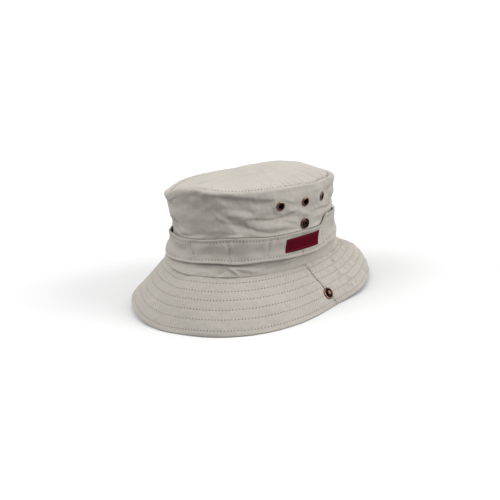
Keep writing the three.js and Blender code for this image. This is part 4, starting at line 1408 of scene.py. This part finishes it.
def stitch_places(face, form, angles, place, pitch, zero, facing=1):
    """Places of stitches along a row that follows one place round a face."""
    fine, lengths = row_lengths(form, place, angles, zero)
    first = math.ceil(lengths[0] / pitch - ROW_END_SHARE)
    last = math.floor(lengths[-1] / pitch - 1 + ROW_END_SHARE)
    centres = (np.arange(first, last + 1) + 0.5) * pitch
    here = np.interp(centres, lengths, fine)
    level = place + 0 * here
    tangents = unit(face(here + TANGENT_STEP, level) - face(here - TANGENT_STEP, level))
    return face(here, level), normal_of(form, here, level) * facing, tangents


def keep_off(places, centres, radius):
    """Leaves out the stitches that a fitting covers."""
    kept = np.ones(len(places[0]), bool)
    for centre in centres:
        kept &= np.linalg.norm(places[0] - centre, axis=-1) > radius
    return tuple(part[kept] for part in places)


def fitting_seats(kind):
    """Names, places and outward directions of the fittings of one kind."""
    form, facing = (brim_form, -1) if kind == "snap_stud" else (crown_form, 1)
    places = FITTING_PLACES[kind]
    found = []
    for side_name, side in (("left", 1), ("right", -1)):
        for i, place in enumerate(places):
            name = f"{kind}_{side_name}" + (f"_{i + 1}" if len(places) > 1 else "")
            angle, level = np.array([float(side * place.angle)]), np.array([place.level])
            outward = normal_of(form, angle, level)[0] * facing
            found.append((name, form(angle, level)[0], outward))
    return found


def drill(piece, seats, radius):
    """Cuts the fittings' holes through a piece of cloth."""
    cutters = bpy.data.meshes.new("cutters")
    vertices, faces = [], []
    for _, centre, outward in seats:
        turn = Vector(outward).to_track_quat("Z", "Y").to_matrix()
        start = len(vertices)
        for height in (-HOLE_DEPTH / 2, HOLE_DEPTH / 2):
            for i in range(FITTING_SIDES):
                around = 2 * math.pi * i / FITTING_SIDES
                ring = turn @ Vector((radius * math.cos(around), radius * math.sin(around), height))
                vertices.append((ring + Vector(centre)) * MM)
        low = [start + i for i in range(FITTING_SIDES)]
        high = [index + FITTING_SIDES for index in low]
        for i in range(FITTING_SIDES):
            j = (i + 1) % FITTING_SIDES
            faces.append((low[i], low[j], high[j], high[i]))
        faces.append(tuple(reversed(low)))
        faces.append(tuple(high))
    cutters.from_pydata(vertices, [], faces)
    cutter = linked("cutters", cutters)
    modifier = piece.modifiers.new("holes", "BOOLEAN")
    modifier.operation = "DIFFERENCE"
    modifier.solver = "EXACT"
    modifier.object = cutter
    baked(piece, modifier)
    bpy.data.objects.remove(cutter)
    bpy.data.meshes.remove(cutters)


class BUSHHAT_OT_crown_side(bpy.types.Operator):
    """Make the folded side wall of the crown and its two rows of stitches"""

    bl_idname = "bush_hat.crown_side"
    bl_label = "Crown side"

    def execute(self, context):
        settings = context.scene.bush_hat
        pitch = settings.stitch_pitch / MM
        tall = TOP_SEAM_LEVEL * SPAN_PER_LEVEL
        outer = spaced(0, tall, ROW_STEP) / SPAN_PER_LEVEL
        inner = spaced(0, tall, INNER_STEP, (False, False)) / SPAN_PER_LEVEL
        angles = np.linspace(-180, 180, CROWN_COLUMNS + 1)
        angle_out, level_out = np.meshgrid(angles, outer)
        angle_in, level_in = np.meshgrid(angles, inner[::-1])
        points = np.concatenate([crown_face(angle_out, level_out), crown_inner(angle_in, level_in)])
        form = np.concatenate([crown_form(angle_out, level_out), crown_form(angle_in, level_in)])
        around = arc_lengths(form, np.concatenate([angle_out, angle_in]), -180)
        height = np.concatenate([level_out, level_in]) * SPAN_PER_LEVEL
        points, around, height = (closed_rows(grid) for grid in (points, around, height))
        piece = grid_mesh("crown_side_cloth", points, (around, height),
                          close_rows=True, close_columns=True)
        drill(piece, fitting_seats("eyelet"), EYELET_HOLE)
        drill(piece, fitting_seats("snap_socket"), SOCKET_HOLE)
        finish_piece(piece, (cotton(settings),), ("crown_side",))
        levels = (ROOT_STITCH_INSET / SPAN_PER_LEVEL, TOP_STITCH_LEVEL)
        places = [stitch_places(crown_face, crown_form, (-180, 180), level, pitch, -180)
                  for level in levels]
        sew("crown_stitches", places, cotton_thread(settings), settings)
        return {"FINISHED"}


class BUSHHAT_OT_crown_top(bpy.types.Operator):
    """Make the domed top panel with the gathers round its seam"""

    bl_idname = "bush_hat.crown_top"
    bl_label = "Crown top"

    def execute(self, context):
        settings = context.scene.bush_hat
        angles = np.linspace(-180, 180, TOP_COLUMNS + 1)
        seam_reach = 1 - SEAM_SHUT / HALF_WIDTH
        outer = spaced(0, HALF_WIDTH, ROW_STEP, (False, True)) / HALF_WIDTH * seam_reach
        inner = spaced(0, HALF_WIDTH, INNER_STEP, (False, False)) / HALF_WIDTH * seam_reach
        angle_out, reach_out = np.meshgrid(angles, outer[::-1])
        angle_in, reach_in = np.meshgrid(angles, inner)
        slope = normal_of(top_form, angle_in, np.maximum(reach_in, POLE_REACH))
        inside = lifted(top_form(angle_in, reach_in), slope, CROWN_CLOTH + 0 * reach_in)
        inside[0] = top_form(angles, 0 * angles) - (0, 0, CROWN_CLOTH)
        points = np.concatenate([inside, top_face(angle_out, reach_out)])
        angle = np.concatenate([angle_in, angle_out])
        # The inner face counts as far from the seam, so that it shows no needle holes
        from_seam = (1 - np.concatenate([0 * reach_in - 1, reach_out])) * HALF_WIDTH
        away = (from_seam - TOP_HOLE_INSET) / TOP_HOLE_STRETCH
        pitch = settings.stitch_pitch / MM
        lines = [stitch_line(crown_form, TOP_SEAM_LEVEL, angle, away, pitch, -180)]
        piece = grid_mesh("crown_top_cloth", points, (points[..., 0], points[..., 1]), lines,
                          close_columns=True)
        weld_poles(piece)
        material = cotton(settings, "hat_top_cotton", TOP_HOLE_SHADE)
        finish_piece(piece, (material,), ("crown_top",))
        return {"FINISHED"}


class BUSHHAT_OT_hat_band(bpy.types.Operator):
    """Make the band round the crown with its hems, tacks and stitches"""

    bl_idname = "bush_hat.hat_band"
    bl_label = "Hat band"

    def execute(self, context):
        settings = context.scene.bush_hat
        pitch = settings.stitch_pitch / MM
        angles = np.linspace(-180, 180, BAND_COLUMNS + 1)
        outer = spaced(0, BAND_HEIGHT, ROW_STEP) / BAND_HEIGHT
        inner = spaced(0, BAND_HEIGHT, INNER_STEP, (False, False)) / BAND_HEIGHT
        angle_out, up_out = np.meshgrid(angles, outer)
        angle_in, up_in = np.meshgrid(angles, inner[::-1])
        inside = band_place(angle_in, up_in, 0 * angle_in)
        points = np.concatenate([band_face(angle_out, up_out), inside])
        angle = np.concatenate([angle_out, angle_in])
        up = np.concatenate([up_out, up_in])
        around = arc_lengths(band_form(angle, up), angle, -180)
        points, angle, up, around = (closed_rows(grid) for grid in (points, angle, up, around))
        height = up * BAND_HEIGHT
        lines = [stitch_line(band_form, row, angle, (up - row) * BAND_HEIGHT, pitch, -180)
                 for row in BAND_STITCH_ROWS]
        off_ends = FAR_AWAY * ((up < BAND_STITCH_ROWS[0]) | (up > BAND_STITCH_ROWS[1]))
        for loop in BAND_LOOPS:
            away = turned(angle - tack_angle(loop, up)) * SPAN_PER_DEGREE
            lines.append((height / TACK_PITCH, away + np.copysign(off_ends, away)))
        piece = grid_mesh("hat_band_cloth", points, (around, height), lines,
                          close_rows=True, close_columns=True)
        material = cotton(settings, "hat_band_cotton", BAND_HOLE_SHADE)
        finish_piece(piece, (material,), ("hat_band",))
        places = [stitch_places(band_face, band_form, (-180, 180), row, pitch, -180)
                  for row in BAND_STITCH_ROWS]
        places += [self.tack_places(loop) for loop in BAND_LOOPS]
        sew("band_stitches", places, cotton_thread(settings), settings)
        return {"FINISHED"}

    @staticmethod
    def tack_places(loop):
        """Stitches of one tack, from the band's lower row of stitches to its upper one."""
        count = round(BAND_HEIGHT / TACK_PITCH)
        up = (np.arange(count) + 0.5) * TACK_PITCH / BAND_HEIGHT
        up = up[(up > BAND_STITCH_ROWS[0]) & (up < BAND_STITCH_ROWS[1])]
        angle = tack_angle(loop, up)
        ahead = up + TANGENT_STEP
        points = band_face(angle, up)
        tangents = unit(band_face(tack_angle(loop, ahead), ahead) - points)
        return points, normal_of(band_form, angle, up), tangents


class BUSHHAT_OT_label(bpy.types.Operator):
    """Make the woven label on the band and the stitches round its border"""

    bl_idname = "bush_hat.label"
    bl_label = "Label"

    def execute(self, context):
        settings = context.scene.bush_hat
        tall = (LABEL_HEAD - LABEL_FOOT) * SPAN_PER_LEVEL
        across = spaced(0, LABEL_WIDTH, LABEL_STEP) / LABEL_WIDTH
        up = spaced(0, tall, LABEL_STEP) / tall
        across_grid, up_grid = np.meshgrid(across, np.concatenate([up, up[::-1]]))
        front = np.concatenate([1 + 0 * up, 0 * up])[:, None]
        from_side = np.minimum(across_grid, 1 - across_grid) * LABEL_WIDTH
        edge = np.minimum(from_side, np.minimum(up_grid, 1 - up_grid) * tall)
        furrow = groove(edge - LABEL_STITCH_INSET, LABEL_GROOVE, LABEL_GROOVE_WIDTH)
        depth = front * (LABEL_THICKNESS + furrow)
        depth = depth - edge_sink(edge, LABEL_THICKNESS / 2) * (2 * front - 1)
        points = label_place(across_grid, up_grid, depth)
        grids = (points, across_grid * LABEL_WIDTH, up_grid * tall)
        points, wide, high = (closed_rows(grid) for grid in grids)
        piece = grid_mesh("label_patch", points, (wide, high), close_rows=True, capped=True)
        finish_piece(piece, (label_cloth(settings),), ("label",))
        sew("label_stitches", [self.border_places(tall)],
            thread("label_thread", settings.label_thread_colour), settings)
        return {"FINISHED"}

    @staticmethod
    def border_places(tall):
        """Stitches round the label's border, a little inside its edge."""
        size = np.array([LABEL_WIDTH, tall])
        low, high = np.full(2, LABEL_STITCH_INSET), size - LABEL_STITCH_INSET
        corners = [low, np.array([high[0], low[1]]), high, np.array([low[0], high[1]]), low]
        spots, directions = [], []
        for start, end in zip(corners, corners[1:]):
            length = np.linalg.norm(end - start)
            count = round(length / LABEL_STITCH_PITCH)
            shares = (np.arange(count) + 0.5) / count
            spots.append(start + (end - start) * shares[:, None])
            directions.append(np.tile((end - start) / length, (count, 1)))
        spots, directions = np.concatenate(spots), np.concatenate(directions)

        def face(place, depth):
            across, up = (place / size).T
            return label_place(across, up, depth + 0 * up)

        sewn_at = LABEL_THICKNESS - LABEL_STITCH_SINK
        points = face(spots, sewn_at)
        tangents = unit(face(spots + directions * TANGENT_STEP, sewn_at) - points)
        return points, unit(face(spots, LABEL_NORMAL_STEP) - points), tangents


class BUSHHAT_OT_brim(bpy.types.Operator):
    """Make the two seamed panels of the brim with their rows of stitches"""

    bl_idname = "bush_hat.brim"
    bl_label = "Brim"

    def execute(self, context):
        settings = context.scene.bush_hat
        pitch = settings.stitch_pitch / MM
        studs = fitting_seats("snap_stud")
        for name, side, zero in (("brim_front", -1, 0), ("brim_back", 1, 180)):
            piece = self.panel(f"{name}_cloth", side, zero, pitch)
            drill(piece, studs, SOCKET_HOLE)
            finish_piece(piece, (cotton(settings),), (name,))
            places = []
            for row in BRIM_STITCH_ROWS:
                start, end = (angle[0] for angle in self.ends(np.array([row]), side))
                span = (start + SEAM_CLEAR, end - SEAM_CLEAR)
                for face, facing in ((brim_face, -1), (brim_underside, 1)):
                    found = stitch_places(face, brim_form, span, row, pitch, zero, facing)
                    places.append(keep_off(found, [seat[1] for seat in studs], STUD_COVER))
            if side > 0:
                places += [self.seam_places(hand, pitch) for hand in (1, -1)]
            sew(f"{name}_stitches", places, cotton_thread(settings), settings)
        return {"FINISHED"}

    @staticmethod
    def ends(reach, side):
        """Angles of a panel's two ends at each reach. side is -1 for the front panel."""
        gap = side * SEWN_GAP / 2
        left = brim_seam_angle(reach, 1, gap)
        right = brim_seam_angle(reach, -1, gap)
        return (right, left) if side < 0 else (left, right + 360)

    def panel(self, name, side, zero, pitch):
        """One panel: its upper face from the edge to the root, then its underside back."""
        reaches = spaced(0, BRIM_WIDTH, ROW_STEP, (True, False)) / BRIM_WIDTH
        share = spaced(0, PANEL_LENGTH, PANEL_LENGTH / PANEL_COLUMNS) / PANEL_LENGTH
        start, end = self.ends(reaches, side)
        angle = start[:, None] + (end - start)[:, None] * share
        # The last row stays so far inside the edge that the rounded rim ends on the floor
        edge_angle = angle[-1]
        fall = brim_form(edge_angle, 1 - TINY) - brim_form(edge_angle, 1.0)
        upward = -normal_of(brim_form, edge_angle, 1 + 0 * edge_angle)
        last = 1 - BRIM_CLOTH / 2 * (1 + upward[..., 2]) / (fall[..., 2] / TINY)
        reach = reaches[:, None] * last
        form = brim_form(angle, reach)
        along = arc_lengths(form, angle, zero)
        seam_away = np.minimum(along - along[:, :1], along[:, -1:] - along)
        normal = -normal_of(brim_form, angle, reach)
        relief = self.seam_relief(seam_away, reach, form, side)
        top = lifted(brim_face(angle, reach), normal, relief)
        under = brim_underside(angle, reach)
        outward = outward_at(angle[0])
        level_cut = BRIM_CLOTH / np.sum(normal[0] * outward, axis=-1)
        under[0] = top[0] - outward * level_cut[..., None]
        middle = (top[-1] + under[-1]) / 2
        toward_top = top[-1] - middle
        half_thickness = np.linalg.norm(toward_top, axis=-1)[..., None]
        down_slope = np.cross(upward, unit(np.gradient(middle, axis=0)))
        down_slope *= np.sign(np.sum(down_slope * outward, axis=-1))[..., None]
        rim = [middle + toward_top * math.cos(turn) + down_slope * half_thickness * math.sin(turn)
               for turn in np.radians(np.linspace(0, 180, RIM_STEPS + 2))[1:-1]]
        half = RIM_STEPS // 2
        points = np.concatenate([rim[:half][::-1], top[::-1], under, rim[half:][::-1]])

        def both_faces(values):
            tip = np.repeat(values[-1:], half, axis=0)
            return closed_rows(np.concatenate([tip, values[::-1], values, tip]))

        across = both_faces(reach * brim_slant(angle))
        angle, reach = both_faces(angle), both_faces(reach)
        lines = [stitch_line(brim_form, row, angle, (reach - row) * brim_slant(angle), pitch, zero)
                 for row in BRIM_STITCH_ROWS]
        if side > 0:
            lines.append((across / pitch, both_faces(seam_away - SEAM_STITCH_INSET)))
        return grid_mesh(name, closed_rows(points), (both_faces(along), across), lines,
                         close_rows=True, capped=True)

    @staticmethod
    def seam_relief(away, reach, form, side):
        """The turned and stitched end of a panel at the side seam."""
        turned_end = 1 - smoothstep(*SEAM_TURN_FADE, away - SEAM_STITCH_INSET)
        height = SEAM_TURN_HEIGHT * turned_end * (side > 0) - edge_sink(away, ROOT_ROUNDING)
        height = height + bell(away, SEAM_PUCKER_SPREAD) * rippled(form, BRIM_SEAM_PUCKER)
        return height * smoothstep(0, SEAM_CALM, 1 - reach)

    def seam_places(self, hand, pitch):
        """Stitches along the back panel's turned end. hand is 1 at the wearer's left."""
        inset = hand * SEAM_STITCH_INSET / BRIM_SPAN_PER_DEGREE
        reach = np.arange(pitch, BRIM_WIDTH - SEAM_END_CLEAR, pitch) / BRIM_WIDTH
        ahead = reach + TANGENT_STEP
        which = 0 if hand > 0 else 1
        end, end_ahead = (self.ends(place, 1)[which] + inset for place in (reach, ahead))
        points = brim_face(end, reach)
        tangents = unit(brim_face(end_ahead, ahead) - points)
        return points, -normal_of(brim_form, end, reach), tangents


def turned_profile(outline, base, closed):
    """A smooth curve through the rows of a fitting's outline, base being its height."""
    rows = np.array([(turn.radius, turn.height + shift, turn.bright)
                     for part, shift in zip(outline, base) for turn in part])
    if closed:
        rows = np.concatenate([rows, rows[:1]])
    finer = []
    last = len(rows) - 1
    for i in range(last):
        here, after = rows[i], rows[i + 1]
        slope_in = (after - rows[max(i - 1, 0)]) * PROFILE_ROUNDNESS
        slope_out = (rows[min(i + 2, last)] - here) * PROFILE_ROUNDNESS
        for share in np.arange(PROFILE_STEPS) / PROFILE_STEPS:
            finer.append(curve_between(here, after, slope_in, slope_out, share))
    finer = np.array([*finer, rows[last]])
    finer[:, 0] = np.maximum(finer[:, 0], 0)
    return finer


class BUSHHAT_OT_fittings(bpy.types.Operator):
    """Make the eyelets and both halves of the snaps"""

    bl_idname = "bush_hat.fittings"
    bl_label = "Eyelets and snaps"

    def execute(self, context):
        metal = plated_metal(context.scene.bush_hat)
        kinds = (
            ("eyelet", EYELET_BACK, EYELET_FRONT, CROWN_CLOTH, EYELET_SEAT, True),
            ("snap_socket", SOCKET_BACK, SOCKET_FRONT, CROWN_CLOTH, SOCKET_SEAT, False),
            ("snap_stud", STUD_BACK, STUD_FRONT, BRIM_CLOTH, STUD_SEAT, False),
        )
        for kind, back, front, cloth, seat_gap, closed in kinds:
            profile = turned_profile((back, front), (-cloth - BACK_GAP, seat_gap), closed)
            for name, centre, outward in fitting_seats(kind):
                self.fitting(name, profile, centre, outward, closed, metal)
        return {"FINISHED"}

    @staticmethod
    def fitting(name, profile, centre, outward, closed, metal):
        """One fitting, turned from its profile. A closed profile goes round a hole."""
        around = np.radians(np.linspace(0, 360, FITTING_SIDES + 1))
        spin = np.array(Vector(outward).to_track_quat("Z", "Y").to_matrix())
        radius, height, bright = profile.T
        radius = radius[:, None]
        local = np.stack([radius * np.cos(around), radius * np.sin(around),
                          height[:, None] + 0 * around], -1)
        points = local @ spin.T + centre
        no_map = 0 * points[..., 0]
        piece = grid_mesh(f"{name}_plated", points, (no_map, no_map),
                          close_rows=closed, close_columns=True)
        rows = bright[:-1] if closed else bright
        # bright: bare copper on the rims, patina and painted shade in the recesses and holes
        layer = piece.data.attributes.new("bright", "FLOAT", "POINT")
        layer.data.foreach_set("value", np.repeat(rows, FITTING_SIDES))
        if not closed:
            weld_poles(piece)
        finish_piece(piece, (metal,), (name,))


class BUSHHAT_OT_stage(bpy.types.Operator):
    """Set up the floor, the soft studio light and the camera of the photograph"""

    bl_idname = "bush_hat.stage"
    bl_label = "Stage"

    def execute(self, context):
        settings = context.scene.bush_hat
        scene = context.scene
        scene.view_settings.view_transform = "Standard"
        scene.view_settings.look = "None"
        self.floor(settings)
        self.world(scene, settings)
        for light in STUDIO_LIGHTS:
            self.broad_light(light, settings.light_strength)
        self.camera(scene)
        return {"FINISHED"}

    @staticmethod
    def floor(settings):
        """A plain floor, seen paler than the light that it throws back."""
        mesh = bpy.data.meshes.new("studio_floor")
        signs = ((-1, -1), (1, -1), (1, 1), (-1, 1))
        corners = [(x * FLOOR_HALF, y * FLOOR_HALF, 0) for x, y in signs]
        mesh.from_pydata(corners, [], [(0, 1, 2, 3)])
        floor = linked("studio_floor", mesh)
        material, tree = new_material("studio_floor")
        seen = add(tree, "ShaderNodeLightPath").outputs["Is Camera Ray"]
        colour = mixed_colour(tree, seen, settings.bounce_colour, settings.floor_colour)
        surface(tree, {"Base Color": colour, "Roughness": 0.95, "Specular IOR Level": 0.0})
        mesh.materials.append(material)

    @staticmethod
    def world(scene, settings):
        """The open sky, brighter at the horizon."""
        world = bpy.data.worlds.new("studio_world")
        world.use_nodes = True
        tree = world.node_tree
        tree.nodes.clear()
        direction = add(tree, "ShaderNodeTexCoord").outputs["Generated"]
        rise = add(tree, "ShaderNodeSeparateXYZ", {0: direction}).outputs["Z"]
        strength = ramp(tree, rise, HORIZON_SINE / 2, HORIZON_SINE,
                        HORIZON_STRENGTH * settings.light_strength,
                        SKY_STRENGTH * settings.light_strength)
        sky = add(tree, "ShaderNodeBackground", {"Color": (1, 1, 1, 1), "Strength": strength})
        add(tree, "ShaderNodeOutputWorld", {"Surface": sky.outputs[0]})
        scene.world = world

    @staticmethod
    def broad_light(light, strength):
        """One broad far light of the studio."""
        data = bpy.data.lights.new(light.name, "SUN")
        data.angle = math.radians(light.width)
        data.energy = light.strength * strength
        turn = Vector(light.toward).to_track_quat("Z", "Y").to_matrix()
        linked(light.name, data).matrix_world = turn.to_4x4()

    @staticmethod
    def camera(scene):
        """The camera that saw the photograph."""
        azimuth, elevation = math.radians(CAMERA_AZIMUTH), math.radians(CAMERA_ELEVATION)
        roll = math.radians(CAMERA_ROLL)
        right = Vector((math.cos(azimuth), math.sin(azimuth), 0))
        back = Vector((math.sin(azimuth) * math.cos(elevation),
                       -math.cos(azimuth) * math.cos(elevation), math.sin(elevation)))
        up = back.cross(right)
        x_axis = right * math.cos(roll) - up * math.sin(roll)
        y_axis = right * math.sin(roll) + up * math.cos(roll)
        data = bpy.data.cameras.new("photo_camera")
        data.lens = CAMERA_LENS
        data.sensor_width = SENSOR_WIDTH
        data.sensor_fit = "HORIZONTAL"
        data.clip_start = 0.01
        data.clip_end = 200
        camera = linked("photo_camera", data)
        place = Matrix((x_axis, y_axis, back)).transposed().to_4x4()
        place.translation = (Vector(CAMERA_TARGET) + back * CAMERA_DISTANCE) * MM
        camera.matrix_world = place
        scene.camera = camera


class BUSHHAT_PT_panel(bpy.types.Panel):
    """Sidebar panel with the hat's settings and its pieces"""

    bl_idname = "BUSHHAT_PT_panel"
    bl_label = "Bush Hat"
    bl_space_type = "VIEW_3D"
    bl_region_type = "UI"
    bl_category = "Bush Hat"

    def draw(self, context):
        settings = context.scene.bush_hat
        for name in HatSettings.__annotations__:
            self.layout.prop(settings, name)
        for piece in PIECES:
            self.layout.operator(piece.bl_idname)


PIECES = (
    BUSHHAT_OT_crown_side, BUSHHAT_OT_crown_top, BUSHHAT_OT_hat_band, BUSHHAT_OT_label,
    BUSHHAT_OT_brim, BUSHHAT_OT_fittings, BUSHHAT_OT_stage,
)
CLASSES = (HatSettings, *PIECES, BUSHHAT_PT_panel)


def register():
    """Adds the settings, the operators and the panel."""
    for kind in CLASSES:
        bpy.utils.register_class(kind)
    bpy.types.Scene.bush_hat = PointerProperty(type=HatSettings)


def unregister():
    """Takes them away again."""
    del bpy.types.Scene.bush_hat
    for kind in reversed(CLASSES):
        bpy.utils.unregister_class(kind)


def main():
    """Makes every piece and the stage."""
    register()
    bpy.ops.bush_hat.crown_side()
    bpy.ops.bush_hat.crown_top()
    bpy.ops.bush_hat.hat_band()
    bpy.ops.bush_hat.label()
    bpy.ops.bush_hat.brim()
    bpy.ops.bush_hat.fittings()
    bpy.ops.bush_hat.stage()


if __name__ == "__main__":
    main()
